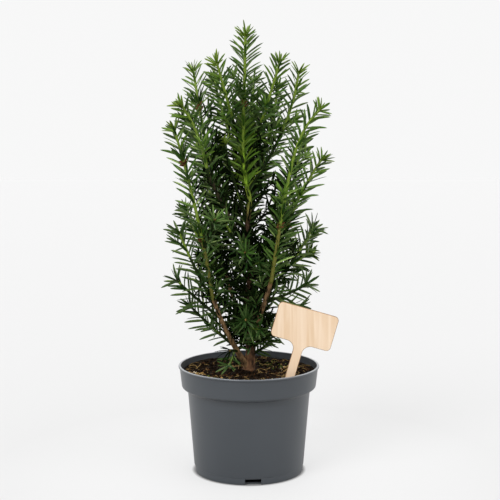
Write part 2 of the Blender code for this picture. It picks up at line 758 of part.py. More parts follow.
def make_masses(parts, ring, limbs):
    rng = random.Random(SEED)
    stems = make_stems(limbs)
    skeleton = Skeleton(stems)
    twigs = grow_twigs(stems, limbs.values(), skeleton, rng)
    needle = needle_mesh()
    for mass, (row, stem) in enumerate(zip(MASS_ROWS, stems)):
        name, carrier, foot = row[:3]
        stem_mesh = limb_mesh(stem, ring)
        if foot is not TIP:
            seat_foot(stem_mesh, stem, limbs[carrier])
        pieces = new_collection(name + "_pieces")
        squeeze = NEEDLE_SQUEEZE[0] if name == "leader" else NEEDLE_SQUEEZE[1]
        for twig in twigs[mass]:
            pieces.objects.link(bpy.data.objects.new("twig", limb_mesh(twig, ring)))
        for limb in (stem, *twigs[mass]):
            for matrix in needle_places(limb, squeeze, rng):
                if needle_fits(matrix, mass, skeleton, limbs.values()):
                    leaf = bpy.data.objects.new("needle", needle)
                    leaf.matrix_world = matrix
                    pieces.objects.link(leaf)
        join_mass(name, stem_mesh, pieces, parts)


def main():
    clear_scene()
    parts = new_collection("hicksii_yew")
    cutters = new_collection("cutters")
    make_pot(parts, cutters)
    make_soil(parts, cutters)
    make_label(parts)
    trunk = make_trunk(parts, ring_profile(TRUNK_SIDES, cutters))
    limbs = {"trunk": trunk, **make_boughs(parts, ring_profile(BOUGH_SIDES, cutters), trunk)}
    make_masses(parts, ring_profile(STEM_SIDES, cutters), limbs)


main()
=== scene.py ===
"""A young Hicksii hybrid yew in its nursery pot, dressed for a studio picture. Metres, +Z up, -Y to the viewer."""
import math
import random

import bmesh
import bpy
import numpy as np
from mathutils import Matrix, Vector


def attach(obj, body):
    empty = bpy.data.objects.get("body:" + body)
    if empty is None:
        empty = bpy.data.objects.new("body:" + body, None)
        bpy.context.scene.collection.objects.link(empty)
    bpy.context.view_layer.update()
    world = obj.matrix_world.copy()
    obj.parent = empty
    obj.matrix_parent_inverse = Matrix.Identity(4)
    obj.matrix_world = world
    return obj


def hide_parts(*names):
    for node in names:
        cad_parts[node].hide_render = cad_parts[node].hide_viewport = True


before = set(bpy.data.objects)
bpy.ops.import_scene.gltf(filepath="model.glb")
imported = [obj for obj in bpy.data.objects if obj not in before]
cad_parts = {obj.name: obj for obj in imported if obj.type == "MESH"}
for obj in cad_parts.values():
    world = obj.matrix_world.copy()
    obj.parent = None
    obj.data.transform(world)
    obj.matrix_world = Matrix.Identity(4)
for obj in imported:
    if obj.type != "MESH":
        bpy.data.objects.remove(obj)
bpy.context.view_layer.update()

MM = 0.001

# Studio: a pale floor in a white room, lit from above and behind and by two broad soft lamps in front. The floor's
# glow, seen by the camera only, is painted light.
# The camera stands 1.4 m in front of the pot and looks down by seven degrees.
camera_data = bpy.data.cameras.new("camera")
camera_data.sensor_width = 36
camera_data.lens = 84.81
camera = bpy.data.objects.new("camera", camera_data)
camera.location = (1.37 * MM, -1.4, 0.4375)
camera.rotation_euler = (math.radians(90 - 6.85), 0, 0)
bpy.context.scene.collection.objects.link(camera)
bpy.context.scene.camera = camera
bpy.context.scene.view_settings.view_transform = "Standard"


def plain_material(name, colour, roughness):
    """A Principled material with one colour and roughness, to which a section adds its own pattern."""
    made = bpy.data.materials.new(name)
    made.use_nodes = True
    shader = made.node_tree.nodes["Principled BSDF"]
    shader.inputs["Base Color"].default_value = (*colour, 1)
    shader.inputs["Roughness"].default_value = roughness
    return made, made.node_tree, shader


def mesh_piece(name, points, faces, smooth=True):
    """An object at the origin from an array of points and an array or list of faces."""
    mesh = bpy.data.meshes.new(name)
    mesh.from_pydata(points.tolist(), [], faces if isinstance(faces, list) else faces.tolist())
    mesh.validate()
    if smooth:
        mesh.shade_smooth()
    piece = bpy.data.objects.new(name, mesh)
    bpy.context.scene.collection.objects.link(piece)
    return piece


floor_half = 6.0
floor_corners = np.array([(-1, -1, 0), (1, -1, 0), (1, 1, 0), (-1, 1, 0)]) * floor_half
floor = mesh_piece("floor", floor_corners, [(0, 1, 2, 3)], smooth=False)
floor_paint, tree, shader = plain_material("pale_floor_painted_glow", (0.29, 0.29, 0.29), 0.75)
floor.data.materials.append(floor_paint)
# Painted light and shadow on the floor: for camera rays only it glows, more near the pot to lift the shade round it,
# and not at all within 66 mm of the axis, which is a painted contact shadow under the pot.
seen = tree.nodes.new("ShaderNodeLightPath")
shader.inputs["Emission Color"].default_value = (1, 1, 1, 1)
coordinates = tree.nodes.new("ShaderNodeTexCoord")
reach = tree.nodes.new("ShaderNodeVectorMath")
reach.operation = "LENGTH"
tree.links.new(coordinates.outputs["Object"], reach.inputs[0])
strength = tree.nodes.new("ShaderNodeMapRange")
strength.inputs["From Min"].default_value = 70 * MM
strength.inputs["From Max"].default_value = 320 * MM
strength.inputs["To Min"].default_value = 0.50
strength.inputs["To Max"].default_value = 0.40
tree.links.new(reach.outputs["Value"], strength.inputs["Value"])
painted_floor_glow = tree.nodes.new("ShaderNodeMath")
painted_floor_glow.operation = "MULTIPLY"
tree.links.new(seen.outputs["Is Camera Ray"], painted_floor_glow.inputs[0])
tree.links.new(strength.outputs["Result"], painted_floor_glow.inputs[1])
outside_painted_shadow = tree.nodes.new("ShaderNodeMapRange")
outside_painted_shadow.inputs["From Min"].default_value = 66 * MM
outside_painted_shadow.inputs["From Max"].default_value = 70 * MM
tree.links.new(reach.outputs["Value"], outside_painted_shadow.inputs["Value"])
painted_glow_past_shadow = tree.nodes.new("ShaderNodeMath")
painted_glow_past_shadow.operation = "MULTIPLY"
tree.links.new(painted_floor_glow.outputs["Value"], painted_glow_past_shadow.inputs[0])
tree.links.new(outside_painted_shadow.outputs["Result"], painted_glow_past_shadow.inputs[1])
tree.links.new(painted_glow_past_shadow.outputs["Value"], shader.inputs["Emission Strength"])

world = bpy.data.worlds.new("studio")
world.use_nodes = True
tree = world.node_tree
direction = tree.nodes.new("ShaderNodeTexCoord")
upward = tree.nodes.new("ShaderNodeVectorMath")
upward.operation = "DOT_PRODUCT"
upward.inputs[1].default_value = (0, 0.75, 0.65)
tree.links.new(direction.outputs["Generated"], upward.inputs[0])
room_light = tree.nodes.new("ShaderNodeMapRange")
room_light.inputs["From Min"].default_value = -0.75
room_light.inputs["From Max"].default_value = 0.27
room_light.inputs["To Min"].default_value = 0.30
room_light.inputs["To Max"].default_value = 1.2
tree.links.new(upward.outputs["Value"], room_light.inputs["Value"])
seen = tree.nodes.new("ShaderNodeLightPath")
strength = tree.nodes.new("ShaderNodeMix")
strength.inputs["B"].default_value = 0.935
tree.links.new(seen.outputs["Is Camera Ray"], strength.inputs["Factor"])
tree.links.new(room_light.outputs["Result"], strength.inputs["A"])
tree.links.new(strength.outputs["Result"], tree.nodes["Background"].inputs["Strength"])
tree.nodes["Background"].inputs["Color"].default_value = (1, 1, 1, 1)
bpy.context.scene.world = world

for name, energy, breadth, aim in (("key", 1.4, 30, (0.45, 0.60, -0.66)), ("fill", 0.8, 60, (-0.55, 0.50, -0.66))):
    sun_data = bpy.data.lights.new(name, "SUN")
    sun_data.energy = energy
    sun_data.angle = math.radians(breadth)
    sun = bpy.data.objects.new(name, sun_data)
    sun.rotation_euler = Vector(aim).to_track_quat("-Z", "Y").to_euler()
    bpy.context.scene.collection.objects.link(sun)

# Pot: a thin round of moulded anthracite plastic, its collar stepped out under a narrow lip.
# Four notches for drainage go through the foot of the wall and the edge of the floor.
rim_radius, pot_height = 85 * MM, 130 * MM
foot_radius, shoulder_radius, shoulder_height = 65.5 * MM, 73.9 * MM, 99 * MM
wall, floor_thickness = 1.3 * MM, 1.6 * MM
collar_top, collar_low, collar_foot = 83.6 * MM, 81.4 * MM, 108.5 * MM
pot_columns = 192


def revolve(profile, columns):
    """Turns a profile (radius, height) that starts and ends on the axis: each inner point sweeps a ring
    (r cos a, r sin a, h), and the two ends are single points that close the poles."""
    rings = np.array(profile[1:-1])
    turn = np.linspace(0, 2 * np.pi, columns, endpoint=False)
    sweep = np.stack([rings[:, :1] * np.cos(turn), rings[:, :1] * np.sin(turn),
                      np.repeat(rings[:, 1:], columns, axis=1)], axis=-1).reshape(-1, 3)
    count = len(rings)
    here = np.arange(columns)
    after = (here + 1) % columns
    row = np.arange(count - 1)[:, None] * columns
    quads = np.stack([row + here, row + columns + here, row + columns + after, row + after], axis=-1)
    points = np.concatenate([sweep, [(0, 0, profile[0][1]), (0, 0, profile[-1][1])]])
    start, end = len(points) - 2, len(points) - 1
    last = (count - 1) * columns
    caps = [(start, a, b) for a, b in zip(here.tolist(), after.tolist())]
    caps += [(end, last + b, last + a) for a, b in zip(here.tolist(), after.tolist())]
    return points, quads.reshape(-1, 4).tolist() + caps


def arc(start, end, bulge, steps):
    """Points from start to end on a quarter of an ellipse, bulging towards the corner named by bulge."""
    turn = np.linspace(0, np.pi / 2, steps + 1)
    corner = np.array(bulge)
    a, b = np.array(start), np.array(end)
    return [tuple(corner + (a - corner) * (1 - math.sin(t)) + (b - corner) * (1 - math.cos(t))) for t in turn]


pot_profile = [
    (0, floor_thickness),
    (foot_radius - wall - 1.5 * MM, floor_thickness),
    (foot_radius - wall, floor_thickness + 1.5 * MM),
    (shoulder_radius - wall, shoulder_height + wall),
    (collar_low - wall - 0.6 * MM, collar_foot - 1.5 * MM),
    (collar_low - wall, collar_foot + 1.0 * MM),
    (collar_top - wall, pot_height - 3 * MM),
    (collar_top - wall, pot_height - 0.3 * MM),
    (collar_top - wall + 0.3 * MM, pot_height),
    (rim_radius - 0.8 * MM, pot_height),
    (rim_radius - 0.3 * MM, pot_height - 0.2 * MM),
    (rim_radius, pot_height - 0.8 * MM),
    (rim_radius, pot_height - 1.8 * MM),
    (rim_radius - 0.3 * MM, pot_height - 2.2 * MM),
    (collar_top + 0.2 * MM, pot_height - 2.6 * MM),
    (collar_top, pot_height - 3.4 * MM),
    (collar_low - 0.1 * MM, collar_foot - 2.0 * MM),
    *arc((collar_low - 0.15 * MM, 105.8 * MM), (collar_low - 4.6 * MM, 102.2 * MM), (collar_low - 0.4 * MM, 103.0 * MM), 8),
    (shoulder_radius + 0.9 * MM, 101.0 * MM),
    (shoulder_radius, shoulder_height),
    (shoulder_radius - 0.5 * MM, 93 * MM),
    (66.62 * MM, 9.0 * MM),
    (66.5 * MM, 8.6 * MM),
    (66.1 * MM, 8.3 * MM),
    (65.6 * MM, 1.2 * MM),
    (65.3 * MM, 0.4 * MM),
    (64.6 * MM, 0),
    (0, 0),
]
pot_points, pot_faces = revolve(pot_profile, pot_columns)
pot = mesh_piece("pot_shell", pot_points, pot_faces)
for index in range(4):
    bearing = math.radians(4.4 + 90 * index)
    bpy.ops.mesh.primitive_cube_add(size=1)
    notch = bpy.context.active_object
    notch.scale = (19 * MM, 12 * MM, 14.5 * MM)
    notch.rotation_euler.z = bearing
    notch.location = (foot_radius * math.sin(bearing), -foot_radius * math.cos(bearing), 0)
    boolean = pot.modifiers.new("notch", "BOOLEAN")
    boolean.operation = "DIFFERENCE"
    boolean.object = notch
    bpy.context.view_layer.update()
    cut_mesh = bpy.data.meshes.new_from_object(pot.evaluated_get(bpy.context.evaluated_depsgraph_get()))
    pot.modifiers.clear()
    pot.data = cut_mesh
    bpy.data.objects.remove(notch)
pot.data.shade_smooth()
pot.data.set_sharp_from_angle(angle=math.radians(40))


def mottle_group():
    """The shader group of the mottling: noise of a scale and detail. Its share between From and To mixes the
    dark colour with the light one, and the noise itself comes out as a height."""
    group = bpy.data.node_groups.new("mottle", "ShaderNodeTree")
    for name, kind in (("Vector", "Vector"), ("Scale", "Float"), ("Detail", "Float"), ("Distortion", "Float"),
                       ("From", "Float"), ("To", "Float"), ("Dark", "Color"), ("Light", "Color")):
        group.interface.new_socket(name=name, in_out="INPUT", socket_type="NodeSocket" + kind)
    group.interface.new_socket(name="Color", in_out="OUTPUT", socket_type="NodeSocketColor")
    group.interface.new_socket(name="Height", in_out="OUTPUT", socket_type="NodeSocketFloat")
    given, result = group.nodes.new("NodeGroupInput"), group.nodes.new("NodeGroupOutput")
    noise = group.nodes.new("ShaderNodeTexNoise")
    for name in ("Vector", "Scale", "Detail", "Distortion"):
        group.links.new(given.outputs[name], noise.inputs[name])
    share = group.nodes.new("ShaderNodeMapRange")
    group.links.new(given.outputs["From"], share.inputs["From Min"])
    group.links.new(given.outputs["To"], share.inputs["From Max"])
    group.links.new(noise.outputs["Fac"], share.inputs["Value"])
    mix = group.nodes.new("ShaderNodeMix")
    mix.data_type = "RGBA"
    group.links.new(given.outputs["Dark"], mix.inputs["A"])
    group.links.new(given.outputs["Light"], mix.inputs["B"])
    group.links.new(share.outputs["Result"], mix.inputs["Factor"])
    group.links.new(mix.outputs["Result"], result.inputs["Color"])
    group.links.new(noise.outputs["Fac"], result.inputs["Height"])
    return group


mottling = mottle_group()


def mottle(tree, vector, scale, detail, dark, light, low=0.0, high=1.0, distortion=0.0):
    """Places the mottling in a material with its own values."""
    node = tree.nodes.new("ShaderNodeGroup")
    node.node_tree = mottling
    tree.links.new(vector, node.inputs["Vector"])
    for name, value in (("Scale", scale), ("Detail", detail), ("Distortion", distortion), ("From", low),
                        ("To", high), ("Dark", (*dark, 1)), ("Light", (*light, 1))):
        node.inputs[name].default_value = value
    return node


def bump_from(tree, shader, height, strength, distance):
    """Feeds a height to the shader's normal through a bump."""
    bump = tree.nodes.new("ShaderNodeBump")
    bump.inputs["Strength"].default_value = strength
    bump.inputs["Distance"].default_value = distance
    tree.links.new(height, bump.inputs["Height"])
    tree.links.new(bump.outputs["Normal"], shader.inputs["Normal"])


pot_plastic, tree, shader = plain_material("pot_plastic", (0.051, 0.060, 0.071), 0.42)
shader.inputs["Coat Weight"].default_value = 1.0
shader.inputs["Coat Roughness"].default_value = 0.30
shader.inputs["Coat IOR"].default_value = 1.6
coordinates = tree.nodes.new("ShaderNodeTexCoord")
grain = mottle(tree, coordinates.outputs["Object"], 900, 4, (0, 0, 0), (1, 1, 1))
smudge = mottle(tree, coordinates.outputs["Object"], 16, 6, (0.033, 0.042, 0.051), (0.053, 0.063, 0.075))
gloss = tree.nodes.new("ShaderNodeMapRange")
gloss.inputs["To Min"].default_value = 0.36
gloss.inputs["To Max"].default_value = 0.52
tree.links.new(smudge.outputs["Height"], gloss.inputs["Value"])
tree.links.new(gloss.outputs["Result"], shader.inputs["Roughness"])
height = tree.nodes.new("ShaderNodeSeparateXYZ")
tree.links.new(coordinates.outputs["Object"], height.inputs["Vector"])
# A paler band on the top millimetre of the lip is a painted highlight, mixed into the mottled colour by height.
lip_highlight_share = tree.nodes.new("ShaderNodeMapRange")
lip_highlight_share.inputs["From Min"].default_value = pot_height - 1.0 * MM
lip_highlight_share.inputs["From Max"].default_value = pot_height - 0.2 * MM
tree.links.new(height.outputs["Z"], lip_highlight_share.inputs["Value"])
painted_lip_highlight = tree.nodes.new("ShaderNodeMix")
painted_lip_highlight.data_type = "RGBA"
painted_lip_highlight.inputs["B"].default_value = (0.135, 0.148, 0.165, 1)
tree.links.new(lip_highlight_share.outputs["Result"], painted_lip_highlight.inputs["Factor"])
tree.links.new(smudge.outputs["Color"], painted_lip_highlight.inputs["A"])
tree.links.new(painted_lip_highlight.outputs["Result"], shader.inputs["Base Color"])
bump_from(tree, shader, grain.outputs["Height"], 0.12, 0.0002)
pot.data.materials.clear()
pot.data.materials.append(pot_plastic)
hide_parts("pot")
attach(pot, "root")

# Soil: dark peat pressed round the roots, lumpy on top, filling the pot to nine millimetres under the rim.
# Loose crumbs of peat, bark chips and pale fibres lie on it.
soil_top = 121 * MM
draw = np.random.default_rng(11)


def soil_height(x, y):
    """Height of the soil: its level, crossed waves as broad as a thumb, and finer crossed waves, calm at the trunk."""
    u, v = x / (17 * MM), y / (17 * MM)
    broad = 0.5 * (np.sin(2.1 * u + 0.7) * np.cos(1.7 * v) + np.sin(1.3 * (u + v) + 2.0))
    fine = 0.5 * (np.sin(9.1 * u + 3 * np.sin(4.3 * v)) + np.sin(8.3 * v + 2 * np.sin(5.9 * u)))
    radius = np.hypot(x, y)
    calm = np.clip(radius / (15 * MM) - 1, 0, 1)
    heaped = 3.5 * MM * np.exp(-(radius / (16 * MM)) ** 2) + 1.8 * MM * np.clip(y / (60 * MM), 0, 1)
    return soil_top + calm * 1.6 * MM * broad + 0.5 * MM * fine + heaped - 0.2 * MM


soil_edge = 81.6 * MM
soil_rings, soil_columns = 90, 256
ring_share = np.linspace(0.004, 1, soil_rings)[:, None]
turn = np.linspace(0, 2 * np.pi, soil_columns, endpoint=False)[None, :]
x, y = soil_edge * ring_share * np.cos(turn), soil_edge * ring_share * np.sin(turn)
top = np.stack([x, y, soil_height(x, y)], axis=-1)
skirt_radii = np.array([[81.2, 118.5], [79.7, 109.0], [72.2, 99.8], [64.2, 14.0], [52.0, 2.2]]) * MM
skirt = np.stack([skirt_radii[:, :1] * np.cos(turn), skirt_radii[:, :1] * np.sin(turn),
                  np.repeat(skirt_radii[:, 1:], soil_columns, axis=1)], axis=-1)
rings = np.concatenate([top, skirt])
points = np.concatenate([rings.reshape(-1, 3), [(0, 0, soil_top), (0, 0, 2.2 * MM)]])
here = np.arange(soil_columns)
after = (here + 1) % soil_columns
row = np.arange(len(rings) - 1)[:, None] * soil_columns
quads = np.stack([row + here, row + soil_columns + here, row + soil_columns + after, row + after], axis=-1)
last = (len(rings) - 1) * soil_columns
caps = [(len(points) - 2, a, b) for a, b in zip(here.tolist(), after.tolist())]
caps += [(len(points) - 1, last + b, last + a) for a, b in zip(here.tolist(), after.tolist())]
soil = mesh_piece("soil_bed", points, quads.reshape(-1, 4).tolist() + caps)


def earth_material(name, dark, light, scale):
    """Crumbly matter: two colours mixed by noise of a given scale, with a rough bump of the same noise."""
    made, tree, shader = plain_material(name, dark, 0.95)
    shader.inputs["Specular IOR Level"].default_value = 0.08
    coordinates = tree.nodes.new("ShaderNodeTexCoord")
    lumps = mottle(tree, coordinates.outputs["Object"], scale, 8, dark, light, 0.35, 0.75)
    tree.links.new(lumps.outputs["Color"], shader.inputs["Base Color"])
    bump_from(tree, shader, lumps.outputs["Height"], 0.8, 1 * MM)
    return made


soil.data.materials.append(earth_material("peat", (0.004, 0.003, 0.002), (0.032, 0.018, 0.007), 260))
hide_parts("soil")
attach(soil, "root")


def unit(vectors):
    return vectors / np.linalg.norm(vectors, axis=-1, keepdims=True)


def skin(points, radii, columns, relief):
    """A tube's points along a path: p + r (n cos a + b sin a) (1 + relief). n and b come from one fixed side
    direction made square to the path at each ring, so that the tube doesn't twist."""
    along = unit(np.gradient(points, axis=0))
    guide = np.array([0.83, 0.55, 0.07])
    normal = unit(guide - (along @ guide)[:, None] * along)
    binormal = np.cross(along, normal)
    turn = np.linspace(0, 2 * np.pi, columns, endpoint=False)
    spread = normal[:, None] * np.cos(turn)[None, :, None] + binormal[:, None] * np.sin(turn)[None, :, None]
    return points[:, None] + spread * (radii[:, None] * (1 + relief))[..., None]


def tube_faces(rows, columns):
    """Quads of an open tube of rings, with a polygon at each end."""
    here = np.arange(columns)
    after = (here + 1) % columns
    row = np.arange(rows - 1)[:, None] * columns
    quads = np.stack([row + here, row + after, row + columns + after, row + columns + here], -1).reshape(-1, 4)
    return quads.tolist() + [tuple(here[::-1].tolist()), tuple(((rows - 1) * columns + here).tolist())]


def turns(count, generator):
    """count random rotation matrices, from random unit quaternions."""
    q = generator.normal(size=(count, 4))
    q /= np.linalg.norm(q, axis=1, keepdims=True)
    w, i, j, k = q.T
    return np.stack([
        np.stack([1 - 2 * (j * j + k * k), 2 * (i * j - k * w), 2 * (i * k + j * w)], -1),
        np.stack([2 * (i * j + k * w), 1 - 2 * (i * i + k * k), 2 * (j * k - i * w)], -1),
        np.stack([2 * (i * k - j * w), 2 * (j * k + i * w), 1 - 2 * (i * i + j * j)], -1)], -2)


def crumbs(name, count, low, high, flatness, patches, generator):
    """Loose bits on the soil: icosahedra with uneven corners, stretched along one side, turned, and scattered
    evenly over the soil's disc or round the centres of patches, half sunk in it."""
    bm = bmesh.new()
    bmesh.ops.create_icosphere(bm, subdivisions=1, radius=1)
    shape = np.array([v.co[:] for v in bm.verts])
    triangles = np.array([[v.index for v in f.verts] for f in bm.faces])
    bm.free()
    size = generator.uniform(low, high, (count, 1, 1)) / 2
    bits = shape * generator.uniform(0.7, 1.2, (count, len(shape), 1))
    bits = bits * np.array([1, generator.uniform(0.5, 0.8), flatness]) * size
    bits = np.einsum("nij,npj->npi", turns(count, generator), bits)
    bits[..., 2] *= 0.7
    radius = (80 * MM - high) * np.sqrt(generator.uniform(0.02, 1, count))
    angle = generator.uniform(0, 2 * np.pi, count)
    x, y = radius * np.cos(angle), radius * np.sin(angle)
    if patches:
        middle = np.array(patches)[generator.integers(0, len(patches), count)] * MM
        x = middle[:, 0] + generator.normal(0, 9 * MM, count)
        y = middle[:, 1] + generator.normal(0, 6 * MM, count)
        inward = np.minimum(1, (80 * MM - high) / np.hypot(x, y))
        x, y = x * inward, y * inward
    centre = np.stack([x, y, soil_height(x, y) + 0.25 * size[:, 0, 0]], -1)
    points = (bits + centre[:, None]).reshape(-1, 3)
    faces = (triangles + (np.arange(count) * len(shape))[:, None, None]).reshape(-1, 3)
    return mesh_piece(name, points, faces, smooth=False)


moss_patches = [(-57, -36), (-40, -48), (38, 24), (24, 40)]
chip_patches = [(-66, -14), (-60, -32), (-46, -46), (-28, -57), (-10, -62), (10, -62), (26, -56), (62, -34), (44, 10)]
for name, count, low, high, flatness, patches, dark, light in (
    ("peat_clods", 190, 4.0, 9.5, 0.6, None, (0.002, 0.001, 0.001), (0.018, 0.009, 0.003)),
    ("peat_crumbs", 2600, 1.0, 3.4, 0.7, None, (0.003, 0.002, 0.001), (0.024, 0.012, 0.004)),
    ("bark_chips", 330, 2.0, 6.5, 0.35, None, (0.024, 0.010, 0.004), (0.115, 0.050, 0.017)),
    ("ochre_chips", 130, 2.0, 7.0, 0.3, chip_patches, (0.200, 0.110, 0.032), (0.520, 0.350, 0.130)),
    ("pale_chips", 85, 2.0, 6.5, 0.3, chip_patches, (0.380, 0.290, 0.170), (0.700, 0.600, 0.440)),
    ("moss_crumbs", 360, 1.5, 4.0, 0.6, moss_patches, (0.030, 0.045, 0.009), (0.170, 0.200, 0.040)),
):
    bits = crumbs(name, count, low * MM, high * MM, flatness, patches, draw)
    bits.data.materials.append(earth_material(name, dark, light, 700))
    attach(bits, "root")


def fibres(name, count, generator):
    """Thin stalks lying on the soil: p(t) = middle + L (t - 1/2) d + L b sin(pi t) n, level with the soil under
    them and lifted by sin(pi t), as thin round tubes."""
    t = np.linspace(0, 1, 9)
    points, faces, base = [], [], 0
    for _ in range(count):
        radius, angle, turn = 76 * MM * math.sqrt(generator.uniform(0.02, 1)), *generator.uniform(0, 2 * np.pi, 2)
        length, bend = generator.uniform(6, 20) * MM, generator.uniform(-0.3, 0.3)
        x = radius * math.cos(angle) + length * ((t - 0.5) * math.cos(turn) - bend * np.sin(np.pi * t) * math.sin(turn))
        y = radius * math.sin(angle) + length * ((t - 0.5) * math.sin(turn) + bend * np.sin(np.pi * t) * math.cos(turn))
        inward = np.minimum(1, 79 * MM / np.hypot(x, y))
        x, y = x * inward, y * inward
        z = soil_height(x, y) + 0.7 * MM + generator.uniform(0, 2.0) * MM * np.sin(np.pi * t)
        rings = skin(np.stack([x, y, z], -1), np.full(len(t), generator.uniform(0.25, 0.55) * MM), 5, np.zeros((len(t), 5)))
        points.append(rings.reshape(-1, 3))
        faces += [tuple(base + index for index in face) for face in tube_faces(len(t), 5)]
        base += rings.shape[0] * rings.shape[1]
    return mesh_piece(name, np.concatenate(points), faces)


straw = fibres("straw_fibres", 110, draw)
straw.data.materials.append(earth_material("straw", (0.120, 0.070, 0.025), (0.420, 0.290, 0.115), 700))
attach(straw, "root")

# Plant label: a plate and stick sawn in one piece from pale plywood, its edges browned by the cutting.
# It is pushed into the soil in front on the right, leans to the right and bears nothing.
label_side, label_stick, label_above, label_top = 36 * MM, 5.5 * MM, 46.5 * MM, 88.5 * MM
label_lean, label_place = math.radians(16), (46.5 * MM, -50 * MM)


def rounded(corners, steps):
    """A closed outline whose corners (x, y, radius) are turned into arcs, inward or outward as it bends."""
    outline = []
    for index, (x, y, radius) in enumerate(corners):
        corner = Vector((x, y))
        before = (Vector(corners[index - 1][:2]) - corner).normalized()
        beyond = (Vector(corners[(index + 1) % len(corners)][:2]) - corner).normalized()
        if radius == 0:
            outline.append(corner)
            continue
        half = before.angle(beyond) / 2
        centre = corner + (before + beyond).normalized() * radius / math.sin(half)
        start = corner + before * radius / math.tan(half) - centre
        sweep = (2 * half - math.pi) * math.copysign(1, before.cross(beyond))
        outline += [centre + Matrix.Rotation(sweep * step / steps, 2) @ start for step in range(steps + 1)]
    return outline


label_outline = rounded([
    (-label_side, label_top, 5 * MM),
    (-label_side, label_above, 5 * MM),
    (-label_stick, label_above, 10 * MM),
    (-label_stick, -30 * MM, 0),
    (0, -37 * MM, 0),
    (label_stick, -30 * MM, 0),
    (label_stick, label_above, 10 * MM),
    (label_side, label_above, 5 * MM),
    (label_side, label_top, 5 * MM),
], 14)
label_curve = bpy.data.curves.new("label", "CURVE")
label_curve.dimensions = "2D"
label_curve.fill_mode = "BOTH"
label_curve.extrude = 0.85 * MM
label_curve.bevel_depth = 0.6 * MM
label_curve.bevel_resolution = 1
label_curve.offset = -0.6 * MM
spline = label_curve.splines.new("POLY")
spline.points.add(len(label_outline) - 1)
spline.points.foreach_set("co", [value for point in label_outline for value in (*point, 0, 1)])
spline.use_cyclic_u = True
guide = bpy.data.objects.new("label_guide", label_curve)
bpy.context.scene.collection.objects.link(guide)
label_mesh = bpy.data.meshes.new_from_object(guide.evaluated_get(bpy.context.evaluated_depsgraph_get()))
bpy.data.objects.remove(guide)
bm = bmesh.new()
bm.from_mesh(label_mesh)
bmesh.ops.remove_doubles(bm, verts=bm.verts, dist=0.000005)
bmesh.ops.recalc_face_normals(bm, faces=bm.faces)
bm.to_mesh(label_mesh)
bm.free()
cut_faces = [int(abs(polygon.normal.z) < 0.97) + int(abs(polygon.normal.z) < 0.5) for polygon in label_mesh.polygons]
label_mesh.transform(Matrix.Translation((*label_place, soil_top)) @ Matrix.Rotation(label_lean, 4, "Y")
                     @ Matrix.Rotation(math.radians(90), 4, "X"))
label = bpy.data.objects.new("label_plate", label_mesh)
bpy.context.scene.collection.objects.link(label)


def wood_material(name, pale, brown):
    """Sawn wood: noise drawn out along the stick mixes two colours, with the same fine grain as bump."""
    made, tree, shader = plain_material(name, pale, 0.6)
    coordinates = tree.nodes.new("ShaderNodeTexCoord")
    mapping = tree.nodes.new("ShaderNodeMapping")
    mapping.inputs["Rotation"].default_value = (0, label_lean, 0)
    mapping.inputs["Scale"].default_value = (150, 60, 9)
    tree.links.new(coordinates.outputs["Object"], mapping.inputs["Vector"])
    bands = mottle(tree, mapping.outputs["Vector"], 1.0, 6, brown, pale, 0.32, 0.62, 0.6)
    tree.links.new(bands.outputs["Color"], shader.inputs["Base Color"])
    bump_from(tree, shader, bands.outputs["Height"], 0.25, 0.3 * MM)
    return made


label_mesh.materials.clear()
label_mesh.materials.append(wood_material("plywood_face", (0.93, 0.73, 0.54), (0.80, 0.57, 0.36)))
label_mesh.materials.append(wood_material("singed_rim", (0.62, 0.40, 0.22), (0.40, 0.23, 0.11)))
label_mesh.materials.append(wood_material("browned_edge", (0.30, 0.16, 0.07), (0.12, 0.06, 0.03)))
label_mesh.polygons.foreach_set("material_index", np.array(cut_faces, dtype=np.int32))
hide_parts("plant_label")
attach(label, "root")
# Trunk: one upright woody stem, flared where the roots leave it, with thin flaking reddish-brown bark.
# Low in the crown its bark is painted dark as shade; higher it goes on as last year's olive wood, and above a knot as
# this year's green leading shoot.
trunk_foot, trunk_top = soil_top + 0.3 * MM, 386 * MM
knot_height, knot_shift, knot_run = 338 * MM, 5 * MM, 8 * MM
sway_width, sway_length, sway_rise = 1.8 * MM, 97 * MM, 20 * MM
trunk_radius_foot, trunk_radius_top = 5.7 * MM, 2.0 * MM
flare, flare_fade = 2.9 * MM, 7 * MM


def bark_relief(rows, columns, length, generator):
    """Relief of bark as a share of the radius: plates that run along the limb. Coarse random values on a grid
    that is long along the limb are smoothed by interpolation, sharpened, and overlaid with finer ones."""
    relief = np.zeros((rows, columns))
    for cells, run, depth in ((7, 14 * MM, 0.055), (15, 6 * MM, 0.04), (24, 1.6 * MM, 0.02)):
        grid_rows = max(3, int(length / run) + 2)
        grid = generator.uniform(-1, 1, (grid_rows, cells))
        v = np.linspace(0, grid_rows - 1.001, rows)
        u = np.arange(columns) / columns * cells
        v0, u0 = v.astype(int), u.astype(int) % cells
        fv, fu = (v - v0)[:, None], (u - np.floor(u))[None, :]
        fv, fu = fv * fv * (3 - 2 * fv), fu * fu * (3 - 2 * fu)
        a, b = grid[v0][:, u0], grid[v0][:, (u0 + 1) % cells]
        c, d = grid[v0 + 1][:, u0], grid[v0 + 1][:, (u0 + 1) % cells]
        relief += depth * ((a * (1 - fu) + b * fu) * (1 - fv) + (c * (1 - fu) + d * fu) * fv)
    return np.sign(relief) * np.abs(relief) ** 0.85


